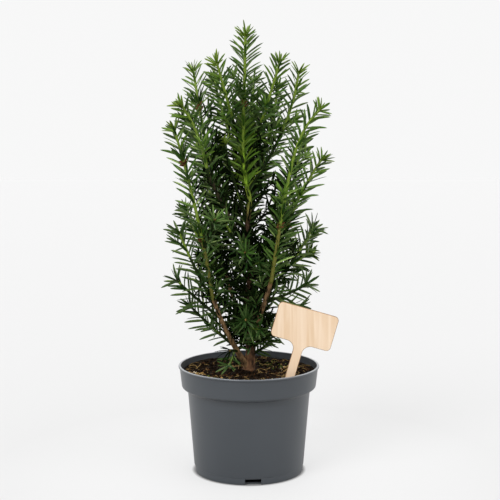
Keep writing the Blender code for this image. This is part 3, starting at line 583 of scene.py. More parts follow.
def bark_material(name, stops):
    """Bark whose colour follows the height in steps (height, colour), broken up by noise that is drawn out
    along the stem: dark cracks between paler flakes, with a bump of the same noise."""
    made, tree, shader = plain_material(name, stops[0][1], 0.8)
    shader.inputs["Specular IOR Level"].default_value = 0.2
    coordinates = tree.nodes.new("ShaderNodeTexCoord")
    height = tree.nodes.new("ShaderNodeSeparateXYZ")
    tree.links.new(coordinates.outputs["Object"], height.inputs["Vector"])
    share = tree.nodes.new("ShaderNodeMapRange")
    share.inputs["From Min"].default_value = trunk_foot
    share.inputs["From Max"].default_value = trunk_top
    tree.links.new(height.outputs["Z"], share.inputs["Value"])
    ramp = tree.nodes.new("ShaderNodeValToRGB")
    for index, (at, colour) in enumerate(stops):
        element = ramp.color_ramp.elements[index] if index < 2 else ramp.color_ramp.elements.new(1)
        element.position = (at - trunk_foot) / (trunk_top - trunk_foot)
        element.color = (*colour, 1)
    tree.links.new(share.outputs["Result"], ramp.inputs["Fac"])
    mapping = tree.nodes.new("ShaderNodeMapping")
    mapping.inputs["Scale"].default_value = (1, 1, 0.4)
    tree.links.new(coordinates.outputs["Object"], mapping.inputs["Vector"])
    flakes = mottle(tree, mapping.outputs["Vector"], 340, 6, [0.22] * 3, [2.1] * 3, 0.32, 0.66)
    tone = tree.nodes.new("ShaderNodeMix")
    tone.data_type = "RGBA"
    tone.blend_type = "MULTIPLY"
    tone.inputs["Factor"].default_value = 1
    tree.links.new(ramp.outputs["Color"], tone.inputs["A"])
    tree.links.new(flakes.outputs["Color"], tone.inputs["B"])
    tree.links.new(tone.outputs["Result"], shader.inputs["Base Color"])
    bump_from(tree, shader, flakes.outputs["Height"], 0.7, 0.6 * MM)
    return made


def trunk_axis(rise):
    """The trunk's axis above its foot: a sway that starts above the soil, and a step aside at the knot."""
    sway = sway_width * np.sin(2 * np.pi * rise / sway_length) * np.minimum(1, rise / sway_rise)
    height = trunk_foot + rise
    shift = knot_shift * (0.5 + 0.5 * np.tanh((height - knot_height) / knot_run))
    return np.stack([sway - shift, 0 * rise, height], -1)


def woody_limb(name, points, radii, columns, relief, material):
    """A limb with bark: a tube with relief along a path."""
    rings = skin(points, radii, columns, relief)
    piece = mesh_piece(name, rings.reshape(-1, 3), tube_faces(len(points), columns))
    piece.data.materials.append(material)
    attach(piece, "root")
    return piece


# The trunk is a darker brown at its foot, up to 138 mm. From 156 to 302 mm, inside the crown, its bark colour is
# painted shade.
brown, painted_crown_shade = (0.132, 0.079, 0.036), (0.050, 0.028, 0.015)
foot_brown = (0.100, 0.050, 0.024)
olive, fresh = (0.135, 0.115, 0.032), (0.150, 0.250, 0.018)
rise = np.linspace(0, trunk_top - trunk_foot, 400)
trunk_points = trunk_axis(rise)
trunk_radii = trunk_radius_foot + (trunk_radius_top - trunk_radius_foot) * rise / rise[-1]
trunk_radii = trunk_radii + flare * np.exp(-rise / flare_fade)
smoother = np.interp(trunk_points[:, 2], [0.26, 0.345], [1, 0.15])[:, None]
relief = bark_relief(len(rise), 40, rise[-1], draw) * smoother
trunk_bark = bark_material("trunk_bark", ((0.122, foot_brown), (0.138, foot_brown), (0.156, painted_crown_shade), (0.302, painted_crown_shade), (0.316, olive),
                                          (0.346, fresh), (0.386, fresh)))
trunk = woody_limb("trunk_bark", trunk_points, trunk_radii, 40, relief, trunk_bark)
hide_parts("trunk")

# Boughs: side stems that leave the trunk low down and rise beside it, bare and brown up to the foliage, and painted
# near-black as shade above 262 mm.
# Each is one tapering limb, thickest at its foot. The three behind are made like the three in front.
bough_rows = (
    ("bough_left", 124, -58, 49, 213, 0.30, 3.1, 2.4),
    ("bough_right", 156, 43, 38, 234, 0.15, 3.0, 2.4),
    ("bough_upper_left", 268, -61, 53, 359, 0.15, 2.4, 1.9),
    ("bough_back_left", 166, -142, 46, 236, 0.30, 2.8, 2.2),
    ("bough_back_right", 181, 140, 44, 250, 0.30, 2.7, 2.1),
    ("bough_upper_back", 262, 176, 33, 330, 0.30, 2.3, 1.9),
)
hook_power = 8


def at_bearing(bearing, reach, height):
    """A point by its compass bearing about the axis, in degrees from the viewer's side, its reach and height."""
    turn = math.radians(bearing)
    return np.array([reach * math.sin(turn), -reach * math.cos(turn), height]) * MM


def at_height(points, height):
    """The point of a rising path at a height."""
    return np.array([np.interp(height, points[:, 2], points[:, axis]) for axis in range(3)])


def sweep_path(foot, tip, bow, rows, hook=0.0):
    """From foot to tip the height grows evenly. The way out is (1 - hook) (t + bow t (1 - t)) + hook t^8."""
    t = np.linspace(0, 1, rows)[:, None]
    out = (1 - hook) * (t + bow * t * (1 - t)) + hook * t**hook_power
    path = foot + (tip - foot) * out
    path[:, 2] = foot[2] + (tip[2] - foot[2]) * t[:, 0]
    return path


def length_of(path):
    return float(np.linalg.norm(np.diff(path, axis=0), axis=1).sum())


# The near-black colour of the boughs above 262 mm is painted shade.
painted_bough_shade = (0.024, 0.020, 0.009)
bough_bark = bark_material("bough_bark", ((trunk_foot, brown), (0.240, brown), (0.262, painted_bough_shade), (trunk_top, painted_bough_shade)))
limbs = {"trunk": (trunk_points, trunk_radii)}
for name, foot, bearing, reach, height, bow, radius_foot, radius_tip in bough_rows:
    path = sweep_path(at_height(trunk_points, foot * MM), at_bearing(bearing, reach, height), bow, 150)
    radii = np.linspace(radius_foot, radius_tip, len(path)) * MM
    radii = radii + 1.5 * MM * np.exp(-np.linspace(0, length_of(path), len(path)) / (18 * MM))
    relief = bark_relief(len(path), 28, length_of(path), draw)
    piece = woody_limb(name + "_bark", path, radii, 28, relief, bough_bark)
    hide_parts(name)
    limbs[name] = (path, radii)

# Shoots: each mass of foliage grows on one stem from a bough or from the trunk, with side twigs by one rule.
# Old wood is olive brown up to a knot of bud scales, and this year's growth beyond it is bright green. On the shoots
# out of sight, all but front_left and front_right, old wood is painted near-black as shade.
mass_rows = (
    ("leader", "trunk", None, -90, 3.8, 523, 0.0, 0.0, 0.0, (0.42,)),
    ("top_left", "trunk", 372, -47, 50, 489, -0.10, 0.0, 0.45, ()),
    ("top_right", "trunk", 364, 48, 48, 490, 0.10, 0.0, 0.45, ()),
    ("high_left", "bough_upper_left", 340, -97, 66, 482, 0.20, 0.0, 0.2, (0.69,)),
    ("high_right", "trunk", 340, 100, 60, 480, 0.70, 0.0, 0.5, ()),
    ("high_back_left", "trunk", 330, -133, 57, 470, 0.10, 0.0, 0.3, ()),
    ("high_back_right", "trunk", 322, 142, 58, 462, 0.35, 0.0, 0.3, ()),
    ("high_back", "trunk", 348, 172, 42, 470, 0.20, 0.0, 0.2, ()),
    ("side_left", "bough_upper_left", None, -63, 86, 440, -0.50, 0.10, 0.1, ()),
    ("front_left", "bough_left", None, -71, 91, 413, -0.32, 0.0, 0.35, (0.35, 0.80)),
    ("front_right", "bough_right", None, 65, 90, 436, -0.13, 0.38, 0.32, (0.32,)),
    ("side_right", "bough_right", 226, 84, 86, 377, -0.50, 0.05, 0.45, (0.47,)),
    ("low_right", "bough_right", 219, 89, 76, 295, 0.20, 0.0, 0.6, ()),
    ("skirt_right", "bough_right", 209, 80, 70, 230, 0.30, 0.0, 1.0, ()),
    ("side_left_low", "bough_left", 198, -69, 87, 293, 0.15, 0.0, 0.7, ()),
    ("star_left", "front_left", 276, -31, 76, 311, 0.30, 0.0, 1.0, ()),
    ("star_small", "trunk", 256, -35, 46, 304, 0.20, 0.0, 0.8, ()),
    ("skirt_left", "bough_left", 190, -77, 87, 235, 0.10, 0.0, 0.9, ()),
    ("foot_left", "bough_left", 154, -84, 71, 203, 0.10, 0.0, 1.0, ()),
    ("tuft_left", "bough_left", 148, -38, 36, 153, 0.0, 0.0, 1.0, ()),
    ("rosette_low", "trunk", 171, -4, 50, 193, 0.10, 0.0, 1.0, ()),
    ("rosette_high", "trunk", 244, -5, 50, 272, 0.10, 0.0, 1.0, ()),
    ("tuft_right", "trunk", 150, 66, 32, 172, 0.10, 0.0, 1.0, ()),
    ("inner_left", "trunk", 300, -68, 32, 396, 0.10, 0.0, 1.0, ()),
    ("back_left", "bough_back_left", None, -140, 84, 372, 0.30, 0.0, 0.35, (0.35,)),
    ("back_left_side", "bough_back_left", 222, -112, 84, 312, 0.20, 0.0, 0.4, ()),
    ("back_left_low", "bough_back_left", 212, -150, 80, 262, 0.10, 0.0, 0.4, ()),
    ("back_right", "bough_back_right", None, 128, 83, 398, 0.20, 0.0, 0.35, (0.35,)),
    ("back_right_side", "bough_back_right", 232, 112, 80, 262, 0.10, 0.0, 0.4, ()),
    ("back_right_low", "bough_back_right", 226, 152, 82, 310, 0.20, 0.0, 0.4, ()),
    ("back", "bough_upper_back", None, 178, 74, 430, 0.35, 0.0, 0.3, ()),
    ("back_upper_left", "trunk", 288, -122, 84, 424, 0.55, 0.0, 0.4, (0.4,)),
    ("foot_back", "trunk", 146, 172, 60, 206, 0.15, 0.0, 1.0, ()),
)
mass_names = [row[0] for row in mass_rows]
stem_rows = 60
dice = random.Random(1947)


def along_path(path, distance):
    """Places and headings at distances along a path."""
    lengths = np.concatenate([[0], np.cumsum(np.linalg.norm(np.diff(path, axis=0), axis=1))])
    tangent = unit(np.gradient(path, axis=0))
    place = np.stack([np.interp(distance, lengths, path[:, axis]) for axis in range(3)], -1)
    heading = unit(np.stack([np.interp(distance, lengths, tangent[:, axis]) for axis in range(3)], -1))
    return place, heading


def frames(place, heading):
    """Side and outward vectors square to the heading, where outward is away from the plant's axis."""
    outward = place * [1, 1, 0]
    near = np.linalg.norm(outward, axis=-1) < 8 * MM
    outward = np.where(near[..., None], [0.0, -1.0, 0.0], outward)
    side = unit(np.cross(heading, outward))
    return side, np.cross(side, heading)


def blade_frames(place, heading, front):
    """Side and outward vectors for needles. Their rows open towards the light, between away from the plant's
    axis and the side of the plant, front or back, that the shoot grows on."""
    radial = place * [1, 1, 0]
    radial = radial / np.maximum(np.linalg.norm(radial, axis=-1, keepdims=True), 8 * MM)
    outward = 0.4 * radial + np.array([0, -0.7 if front else 0.7, 0])
    side = unit(np.cross(heading, outward))
    return side, np.cross(side, heading)


def out_of(path, carrier, spare):
    """The distance along a stem at which it has left the limb that carries it."""
    apart = np.linalg.norm(path[:, None] - carrier[0][None], axis=2) - carrier[1][None]
    leaves = int(np.argmax(apart.min(axis=1) > spare))
    return length_of(path[:leaves + 1])


def twig_path(place, heading, away, angle, size):
    """A twig that leaves at an angle and turns up to 0.6 of it, like the two straight parts of the source."""
    t = np.linspace(0, 1, 10)[1:, None]
    turn = angle * (1 - 0.4 * t**1.5)
    steps = (heading * np.cos(turn) + away * np.sin(turn)) * size / 9
    return place + np.concatenate([np.zeros((1, 3)), np.cumsum(steps, axis=0)])


stems, bare_lengths, radii_of_stems, carriers = [], [], [], dict(limbs)
for name, carrier, foot, bearing, reach, height, bow, hook, old, knots in mass_rows:
    limb, limb_radii = carriers[carrier]
    tip = at_bearing(bearing, reach, height)
    if foot is None:
        lead = limb[-1] + unit(limb[-1] - limb[-2]) * 3 * MM
        stem = np.concatenate([limb[-3:-2], sweep_path(lead, tip, bow, stem_rows, hook)])
        bare_lengths.append(2 * MM)
        radii_of_stems.append((limb_radii[-1], 1.7 * MM if name == "leader" else 1.4 * MM))
    else:
        stem = sweep_path(at_height(limb, foot * MM), tip, bow, stem_rows, hook)
        if name in ("top_left", "top_right"):
            stem[:, 1] += 13 * MM * np.sin(np.pi * np.minimum(1, np.linspace(0, 1, stem_rows) / 0.7))**2
        bare_lengths.append(out_of(stem, carriers[carrier], 1 * MM))
        radii_of_stems.append((1.9 * MM, 1.45 * MM))
    stems.append(stem)
    carriers[name] = (stem, np.linspace(*radii_of_stems[-1], len(stem)))

low_shoots = {"skirt_left", "skirt_right", "foot_left", "foot_back", "low_right", "side_left_low"}
stars = {"star_left", "star_small", "rosette_low", "rosette_high", "tuft_left", "tuft_right"}
twigs = []
for mass, (stem, bare) in enumerate(zip(stems, bare_lengths)):
    length, hand = length_of(stem) - bare, 1
    distance = 0.22 * length
    others = np.concatenate([other for index, other in enumerate(stems) if index != mass])
    while distance < 0.78 * length:
        place, heading = along_path(stem, np.array([bare + distance]))
        side, outward = frames(place, heading)
        angle = math.radians(46 + dice.uniform(-6, 6))
        size = dice.uniform(16, 34) * MM * (1.1 - 0.5 * distance / length)
        twig = twig_path(place, heading, unit(hand * side + 0.35 * outward), angle, size)
        if np.linalg.norm(twig[3:, None] - others, axis=2).min() > 11 * MM and twig[:, 2].min() > 131 * MM:
            name, bearing = mass_rows[mass][0], mass_rows[mass][3]
            twigs.append((abs(bearing) <= 105, 1 if name in low_shoots | stars | {"inner_left"} else 2, twig))
        hand = -hand
        distance += 48 * MM * dice.uniform(0.8, 1.2)


def inner_twigs(limb, low, high, every, sizes, angle, inward, generator):
    """Short twigs round a limb, a golden angle apart, that close the crown's middle; their near-black colour is painted
    shade. Those of a side shoot grow inward only, and those of the trunk above its knot to the back only, so that its
    green stem is seen."""
    heights = np.arange(low, high, every)
    found = []
    for index, height in enumerate(heights):
        place = at_height(limb, height)
        turn = index * 2.39996 + generator.normal(0, 0.3)
        away = np.array([math.cos(turn), math.sin(turn), 0])
        if inward and away @ place > 0:
            away = -away
        if height > (knot_height if not inward else 300 * MM):
            away[1] = abs(away[1])
        size = generator.uniform(*sizes)
        found.append(twig_path(place, np.array([0, 0, 1.0]), away, angle + generator.normal(0, 0.1), size))
    return found


shaded = inner_twigs(trunk_points, 142 * MM, 348 * MM, 4.5 * MM, (24 * MM, 40 * MM), math.radians(58), False, draw)
shaded += inner_twigs(trunk_points, 140 * MM, 200 * MM, 5 * MM, (22 * MM, 34 * MM), math.radians(64), False, draw)
for name, every in (("bough_left", 6), ("bough_right", 6), ("bough_upper_left", 9), ("bough_back_left", 9),
                    ("bough_back_right", 9), ("bough_upper_back", 9)):
    limb, foot = limbs[name][0], 45 if every == 6 else 60
    shaded += inner_twigs(limb, limb[foot, 2], limb[-1, 2], every * MM, (15 * MM, 27 * MM), math.radians(55), False,
                          draw)
for stem in stems[1:]:
    low, high = stem[0, 2] + 12 * MM, stem[0, 2] + 0.62 * (stem[-1, 2] - stem[0, 2])
    shaded += inner_twigs(stem, low, high, 15 * MM, (14 * MM, 24 * MM), math.radians(50), True, draw)


def shoots(name, paths, radii, columns, colour, light, gloss=0.5):
    """Shoots joined into one mesh: a tapering tube with low ribs for each path, where needles' bases run down."""
    points, faces, base = [], [], 0
    for path, (start, end) in zip(paths, radii):
        ribs = 0.06 * np.cos(np.arange(columns) * np.pi)[None, :] * np.ones((len(path), 1))
        rings = skin(path, np.linspace(start, end, len(path)), columns, ribs)
        points.append(rings.reshape(-1, 3))
        faces += [tuple(base + index for index in face) for face in tube_faces(len(path), columns)]
        base += rings.shape[0] * columns
    piece = mesh_piece(name, np.concatenate(points), faces)
    made, tree, shader = plain_material(name, colour, 0.45)
    shader.inputs["Specular IOR Level"].default_value = gloss
    coordinates = tree.nodes.new("ShaderNodeTexCoord")
    skin_tones = mottle(tree, coordinates.outputs["Object"], 350, 3, colour, light)
    tree.links.new(skin_tones.outputs["Color"], shader.inputs["Base Color"])
    piece.data.materials.append(made)
    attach(piece, "root")
    return piece


# Old wood of the shoots out of sight is painted near-black as shade; that of front_left and front_right is olive.
old_parts, old_radii, new_parts, new_radii, painted_shade_parts, painted_shade_radii = [], [], [], [], [], []
for stem, (start, end), row in zip(stems, radii_of_stems, mass_rows):
    cut = int(round(row[8] * (len(stem) - 1)))
    between = start + (end - start) * cut / (len(stem) - 1)
    if cut > 0 and row[0] not in ("front_left", "front_right"):
        painted_shade_parts.append(stem[:cut + 1])
        painted_shade_radii.append((start, between))
    elif cut > 0:
        old_parts.append(stem[:cut + 1])
        old_radii.append((start, between))
    if cut < len(stem) - 1:
        new_parts.append(stem[cut:])
        new_radii.append((between, end))
shoots("shoots_old", old_parts, old_radii, 10, (0.095, 0.098, 0.016), (0.205, 0.200, 0.036), 0.2)
shoots("shoots_new", new_parts, new_radii, 10, (0.120, 0.210, 0.012), (0.220, 0.315, 0.024))
shoots("shoots_painted_shade", painted_shade_parts, painted_shade_radii, 10, (0.008, 0.016, 0.004), (0.020, 0.034, 0.008), 0.05)
shoots("twigs", [twig for _, _, twig in twigs], [(1.2 * MM, 0.8 * MM)] * len(twigs), 8, (0.080, 0.150, 0.014),
       (0.130, 0.210, 0.022))
# The inner twigs are painted near-black as shade.
shoots("twigs_shaded", shaded, [(1.0 * MM, 0.7 * MM)] * len(shaded), 8, (0.006, 0.010, 0.003), (0.014, 0.018, 0.005), 0.05)

# Needles: flat leathery leaves, dark above with a soft sheen, that stand round the shoots in two loose rows.
# They are shorter and paler towards a shoot's tip, where they close into a tuft round the bud.
golden_angle = math.radians(137.508)
needle_width, needle_length = 3.1 * MM, 26 * MM


def needle_template():
    """A needle's skin in its own frame: x across, y along, z out of its face, all as shares. Each station along
    it is a flat diamond: left edge, ridge, right edge and keel, whose width follows the blade's outline."""
    y, w = np.array([[0.0, 0.25], [0.10, 0.70], [0.34, 1.0], [0.70, 0.92], [0.90, 0.55]]).T
    zero = 0 * y
    left = np.stack([-w / 2, y, zero], -1)
    ridge = np.stack([zero, y, 0.45 * w + 0.1], -1)
    right = np.stack([w / 2, y, zero], -1)
    keel = np.stack([zero, y, -0.30 * w - 0.1], -1)
    points = np.stack([left, ridge, right, keel], 1).reshape(-1, 3)
    points = np.concatenate([points, [(0, 1, 0)]])
    corner = np.arange(4)
    beyond = (corner + 1) % 4
    row = np.arange(len(y) - 1)[:, None] * 4
    halves = [np.stack([row + corner, row + beyond + 4, row + beyond], -1),
              np.stack([row + corner, row + corner + 4, row + beyond + 4], -1)]
    last = (len(y) - 1) * 4
    point = np.stack([last + corner, 0 * corner + len(points) - 1, last + beyond], -1)
    faces = np.concatenate([halves[0].reshape(-1, 3), halves[1].reshape(-1, 3), point, [(0, 1, 2), (0, 2, 3)]])
    return points, faces


def set_needles(path, front, distance, turn, lean, squeeze, size, generator):
    """Needles at distances along a path. turn is each one's angle round the shoot, squeezed towards the two
    sides, and lean its angle to the shoot. Its face looks to the shoot's tip, and at the two sides it is
    twisted outward. One row a needle: root, forward, face, length, distance from the tip and bend, the
    direction away from the shoot's tip in which its blade arches."""
    place, heading = along_path(path, distance)
    side, outward = blade_frames(place, heading, front)
    turn = turn - squeeze / 2 * np.sin(2 * turn)
    cos_turn, sin_turn = np.cos(turn)[:, None], np.sin(turn)[:, None]
    away = cos_turn * side + sin_turn * outward
    square = cos_turn * outward - sin_turn * side
    cos_lean, sin_lean = np.cos(lean)[:, None], np.sin(lean)[:, None]
    forward = cos_lean * heading + sin_lean * away
    level = sin_lean * heading - cos_lean * away
    twist = math.radians(66) * cos_turn + generator.normal(0, 0.14, (len(turn), 1))
    face = np.cos(twist) * level + np.sin(twist) * square
    from_tip = length_of(path) - distance
    return np.concatenate([place, forward, face, size[:, None], from_tip[:, None], -level], axis=1)


def needles_on(path, front, bare, squeeze, size, spacing, generator):
    """Needles along a path beyond its bare foot. Their lean to the shoot falls towards the tip, as in the
    source, and the blade's own curve adds to it."""
    length = length_of(path)
    distance = np.arange(bare + spacing, length - 1 * MM, spacing)
    distance = distance + generator.uniform(-0.15, 0.15, len(distance)) * spacing
    share = (distance - bare) / (length - bare)
    turn = np.arange(len(distance)) * golden_angle + generator.uniform(0, 2 * np.pi)
    lean = np.radians(49 - 14 * share**2 + generator.normal(0, 4.5, len(turn)))
    grown = np.minimum(1, 0.62 + 0.38 * (length - distance) / (26 * MM))
    grown = np.minimum(grown, 0.65 + 0.35 * (distance - bare) / (12 * MM))
    size = size * grown * generator.uniform(0.88, 1.06, len(turn))
    return set_needles(path, front, distance, turn, lean, squeeze, size, generator)


def tuft_on(path, front, count, leans, size, generator):
    """The tuft round a shoot's bud: needles close together that spread from the last millimetres."""
    distance = length_of(path) - generator.uniform(0.2, 3.5, count) * MM
    turn = np.arange(count) * golden_angle + generator.uniform(0, 2 * np.pi)
    lean = np.radians(generator.uniform(*leans, count))
    return set_needles(path, front, distance, turn, lean, 0, size * generator.uniform(0.85, 1.1, count), generator)


def crowd_on(path, front, at, count, size, generator):
    """Needles crowded at a knot, which stand steeply up round the shoot."""
    distance = at + generator.uniform(0, 7, count) * MM
    turn = np.arange(count) * golden_angle
    lean = np.radians(generator.uniform(16, 34, count))
    return set_needles(path, front, distance, turn, lean, 0.2, size * generator.uniform(0.85, 1.1, count), generator)


def grow_blades(rows, breadth, generator):
    """The mesh of many needles: each template point goes to root + x width X + y length F + z thickness N, and
    the blade arches in its bend direction as the square of the way along it."""
    shape, triangles = needle_template()
    root, forward, face, size = rows[:, 0:3], rows[:, 3:6], rows[:, 6:9], rows[:, 9]
    across = np.cross(forward, face)
    wide = breadth * generator.uniform(0.9, 1.08, len(rows)) * np.clip(size / (20 * MM), 0.75, 1)
    curve = generator.uniform(0.06, 0.24, len(rows)) * size
    bend = rows[:, 11:14]
    x = shape[None, :, 0] * wide[:, None]
    y = shape[None, :, 1] * size[:, None]
    z = np.repeat(shape[None, :, 2] * 0.9 * MM, len(rows), axis=0)
    arch = curve[:, None] * shape[None, :, 1] ** 2
    points = (root[:, None] + x[..., None] * across[:, None] + y[..., None] * forward[:, None]
              + z[..., None] * face[:, None] + arch[..., None] * bend[:, None])
    faces = triangles + (np.arange(len(rows)) * len(shape))[:, None, None]
    return points.reshape(-1, 3), faces.reshape(-1, 3)


upright = {"leader": 0.80, "top_left": 0.75, "top_right": 0.75, "high_left": 0.72, "high_right": 0.72}
parted = {**upright, "front_left": 0.60, "front_right": 0.60}
bright_stars = {"star_left", "star_small", "rosette_high"}
groups, blades, owners = [], {}, {}
for row, stem, bare in zip(mass_rows, stems, bare_lengths):
    name, knots = row[0], row[9]
    owners[name] = [len(groups), len(groups) + 1]
    front = abs(row[3]) <= 105
    older = name in low_shoots or name in stars
    # Shoots at the back take the second green as painted shade; older shoots take it as their own darker green.
    inner = 2 if (front or name == "high_back") and not older and name != "inner_left" else 1
    size = 27.5 * MM if older else needle_length
    spacing = 2.7 * MM if name in low_shoots else 2.0 * MM if name in upright else 2.4 * MM
    if name == "leader":
        spacing = 1.45 * MM
    squeeze = 0 if name in stars else parted.get(name, 0.72)
    groups.append((inner, needles_on(stem, front, bare, squeeze, size, spacing, draw)))
    if name == "leader":
        groups.append((4, tuft_on(stem, front, 16, (12, 62), 18 * MM, draw)))
    elif older:
        groups.append((2 if name in bright_stars else 1, tuft_on(stem, front, 10, (20, 70), 22 * MM, draw)))
        groups[-1][1][:, 10] += 1
    else:
        groups.append((4, tuft_on(stem, front, 12, (10, 60), 17 * MM, draw)))
    if name in stars:
        blades[len(groups) - 2] = blades[len(groups) - 1] = 2.3 * MM
    elif name in upright:
        blades[len(groups) - 2] = blades[len(groups) - 1] = 2.6 * MM
    # The tuft of tuft_left droops and takes the near-black green: painted shade.
    if name == "tuft_left":
        groups[-2][1][:, 11:14] = groups[-1][1][:, 11:14] = [0, 0, -2.2]
        groups[-1] = (0, groups[-1][1])
    for knot in knots:
        crowd = 2 if name == "leader" else 1
        groups.append((crowd, crowd_on(stem, front, knot * length_of(stem), 12, 22 * MM, draw)))
for front, kind, twig in twigs:
    groups.append((kind, needles_on(twig, front, 2 * MM, 0.5, 21 * MM, 2.8 * MM, draw)))
    groups.append((kind, tuft_on(twig, front, 6, (15, 55), 17 * MM, draw)))
# Inner twigs' needles take the near-black green as painted shade; some high and low ones take the second green.
for index, twig in enumerate(shaded):
    light = twig[0, 2] > 390 * MM or (twig[0, 2] < 240 * MM and index % 2 == 0)
    front, kind = twig[-1, 1] < twig[0, 1], int(light)
    groups.append((kind, needles_on(twig, front, 2 * MM, 0.4, 20 * MM, 2.9 * MM, draw)))
    groups.append((kind, tuft_on(twig, front, 5, (15, 55), 17 * MM, draw)))
crown_trunk = trunk_points[trunk_points[:, 2] > 205 * MM]
below_knot = crown_trunk[crown_trunk[:, 2] < knot_height]
middle_trunk = trunk_points[(trunk_points[:, 2] > 150 * MM) & (trunk_points[:, 2] < 300 * MM)]
# Needles on the trunk low in the crown take the near-black green and the second green, as painted shade.
groups.append((0, needles_on(middle_trunk, True, 0, 0, 21 * MM, 1.5 * MM, draw)))
groups.append((1, needles_on(middle_trunk, True, 0, 0, 23 * MM, 4.0 * MM, draw)))
below_comb = len(groups)
groups.append((1, needles_on(below_knot[below_knot[:, 2] > 290 * MM], True, 0, 0.6, 24 * MM, 2.0 * MM, draw)))
above_knot = np.concatenate([crown_trunk[crown_trunk[:, 2] > knot_height], stems[0][stems[0][:, 2] < 0.425]])
comb = len(groups)
for kind, start in ((4, 2), (3, 3), (3, 4)):
    blades[len(groups)] = 2.6 * MM
    groups.append((kind, needles_on(above_knot, True, start * MM, 0.78, 24 * MM, 2.7 * MM, draw)))
upper_bough = limbs["bough_upper_left"][0]
groups.append((1, needles_on(upper_bough, True, 20 * MM, 0.3, 22 * MM, 2.3 * MM, draw)))
needles = np.concatenate([rows for _, rows in groups])
rank = np.concatenate([np.full(len(rows), kind) for kind, rows in groups])
owner = np.concatenate([np.full(len(rows), index) for index, (_, rows) in enumerate(groups)])


def clear_of_the_rest(rows):
    """Which needles end above the pot, outside the trunk and boughs, and clear of the label's plate."""
    tips = rows[:, 0:3] + (rows[:, 3:6] + 0.15 * rows[:, 11:14]) * rows[:, 9:10]
    over_pot = np.hypot(tips[:, 0], tips[:, 1]) > 62 * MM
    good = tips[:, 2] > np.where(over_pot, 131 * MM, soil_top + 7 * MM)
    for path, radii in limbs.values():
        apart = np.linalg.norm(tips[:, None] - path[None, ::3], axis=2) - radii[None, ::3]
        good &= apart.min(axis=1) > 0.5 * MM
    aside, above = tips[:, 0] - label_place[0], tips[:, 2] - soil_top
    across = aside * math.cos(label_lean) - above * math.sin(label_lean)
    up = aside * math.sin(label_lean) + above * math.cos(label_lean)
    before_plate = (np.abs(across) < label_side + 2 * MM) & (up < label_top + 2 * MM) & (tips[:, 1] < -44 * MM)
    return good & ~before_plate


def before_path(rows, path, half, shares=(0.0, 0.35, 0.7, 1.0)):
    """Which needles cross in front of a rising path, as the viewer sees it, within half its breadth, at any of
    some shares of their length."""
    crosses = np.zeros(len(rows), bool)
    for share in shares:
        x, y, z = (rows[:, 0:3] + (rows[:, 3:6] + 0.15 * share * rows[:, 11:14]) * rows[:, 9:10] * share).T
        at_x, at_y = np.interp(z, path[:, 2], path[:, 0]), np.interp(z, path[:, 2], path[:, 1])
        within = (z > path[0, 2]) & (z < path[-1, 2])
        crosses |= within & (np.abs(x - at_x) < half) & (y < at_y - 1 * MM)
    return crosses


kept = clear_of_the_rest(needles)
in_sight = np.concatenate([crown_trunk[crown_trunk[:, 2] > 300 * MM], stems[0][stems[0][:, 2] < 0.425]])
kept &= ~(before_path(needles, in_sight, 13 * MM) & (owner > 1) & ~np.isin(owner, [below_comb, comb, comb + 1, comb + 2]))
of_comb = np.isin(owner, [comb, comb + 1, comb + 2])
kept &= ~(before_path(needles, in_sight, 2 * MM, (0.5, 1.0)) & of_comb)
for name, first in (("bough_left", 30), ("bough_right", 80)):
    kept &= ~(before_path(needles, limbs[name][0][first:], 4 * MM) & (rank < 2))
for name in ("front_left", "front_right"):
    stem, own = stems[mass_names.index(name)], owners[name]
    spared = np.isin(owner, own) | (np.arange(len(owner)) % 3 == 0)
    kept &= ~(before_path(needles, stem[stem[:, 2] < 330 * MM], 2 * MM) & ~spared)
needles, rank = needles[kept], rank[kept]
breadths = np.array([blades.get(index, needle_width) for index in range(len(groups))])[owner[kept]]


def leaf_material(name, colour, roughness, wax):
    """A needle's skin: its green with a faint mottling, and a waxy surface."""
    made, tree, shader = plain_material(name, colour, roughness)
    shader.inputs["Specular IOR Level"].default_value = wax
    shader.inputs["Specular Tint"].default_value = (0.84, 1.0, 0.36, 1)
    coordinates = tree.nodes.new("ShaderNodeTexCoord")
    dull, bright = [0.7 * value for value in colour], [1.3 * value for value in colour]
    skin_tones = mottle(tree, coordinates.outputs["Object"], 90, 3, dull, bright)
    tree.links.new(skin_tones.outputs["Color"], shader.inputs["Base Color"])
    return made
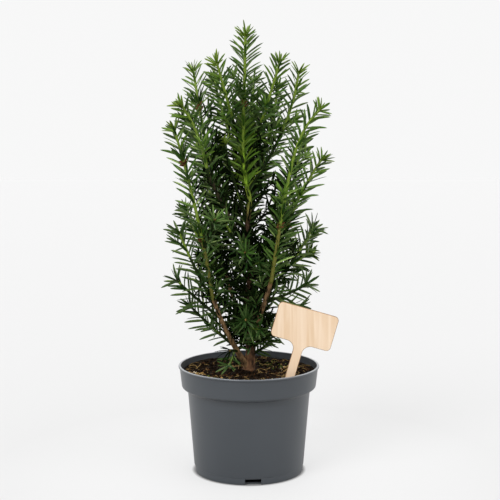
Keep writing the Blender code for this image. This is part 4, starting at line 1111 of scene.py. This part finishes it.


# The first of the five greens is painted shade: near-black with little sheen, for needles deep in the crown. The second
# is the darker green of older needles, and on shoots at the back and inside it is painted shade. The last three are the
# greens of mid, young and tip growth.
leaf_kinds = (
    ("needles_shaded", (0.003, 0.008, 0.0015), 0.55, 0.06),
    ("needles_dark_and_shade", (0.013, 0.046, 0.008), 0.32, 0.82),
    ("needles_mid", (0.037, 0.103, 0.013), 0.30, 0.95),
    ("needles_young", (0.073, 0.156, 0.012), 0.30, 0.85),
    ("needles_tip", (0.125, 0.198, 0.018), 0.36, 0.60),
)
chance = draw.uniform(0, 1, len(rank))
young = (rank >= 2) & (needles[:, 10] < 24 * MM) & (chance < 0.6)
rank = np.where(young & (rank == 2), 3, rank)
rank = np.where((rank == 2) & (chance > 0.62), 1, rank)
rank = np.where((rank == 4) & (chance > 0.55), 3, rank)
for kind, (name, colour, roughness, wax) in enumerate(leaf_kinds):
    points, faces = grow_blades(needles[rank == kind], breadths[rank == kind], draw)
    piece = mesh_piece(name, points, faces, smooth=False)
    piece.data.materials.append(leaf_material(name, colour, roughness, wax))
    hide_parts(*mass_names)
    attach(piece, "root")

# Bud scales: dry brown scales left round the shoot where each year's growth began.
scales = []
for row, stem in zip(mass_rows, stems):
    for knot in row[9]:
        at = knot * length_of(stem)
        distance = at + draw.uniform(-4, 3, 24) * MM
        turn = np.arange(24) * golden_angle
        lean = np.radians(draw.uniform(28, 58, 24))
        scales.append(set_needles(stem, True, distance, turn, lean, 0, draw.uniform(4.5, 7.5, 24) * MM, draw))
distance = 212 * MM + draw.uniform(0, 9, 16) * MM
turn = np.arange(16) * golden_angle
lean = np.radians(draw.uniform(14, 34, 16))
scales.append(set_needles(trunk_points, True, distance, turn, lean, 0, draw.uniform(4, 7, 16) * MM, draw))
points, faces = grow_blades(np.concatenate(scales), 3.4 * MM, draw)
bud_scales = mesh_piece("bud_scales", points, faces)
bud_scales.data.materials.append(bark_material("bud_scales", ((trunk_foot, (0.13, 0.055, 0.022)),
                                                              (trunk_top, (0.13, 0.055, 0.022)))))
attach(bud_scales, "root")
buds = []
for stem in stems:
    distance = length_of(stem) - draw.uniform(0, 1.2, 7) * MM
    turn = np.arange(7) * golden_angle
    buds.append(set_needles(stem, True, distance, turn, np.radians(draw.uniform(6, 22, 7)), 0,
                            draw.uniform(2.2, 3.2, 7) * MM, draw))
points, faces = grow_blades(np.concatenate(buds), 2.6 * MM, draw)
tip_buds = mesh_piece("tip_buds", points, faces)
tip_buds.data.materials.append(bark_material("tip_buds", ((trunk_foot, (0.13, 0.095, 0.025)),
                                                          (trunk_top, (0.13, 0.095, 0.025)))))
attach(tip_buds, "root")
print("needles", len(needles), np.bincount(rank))
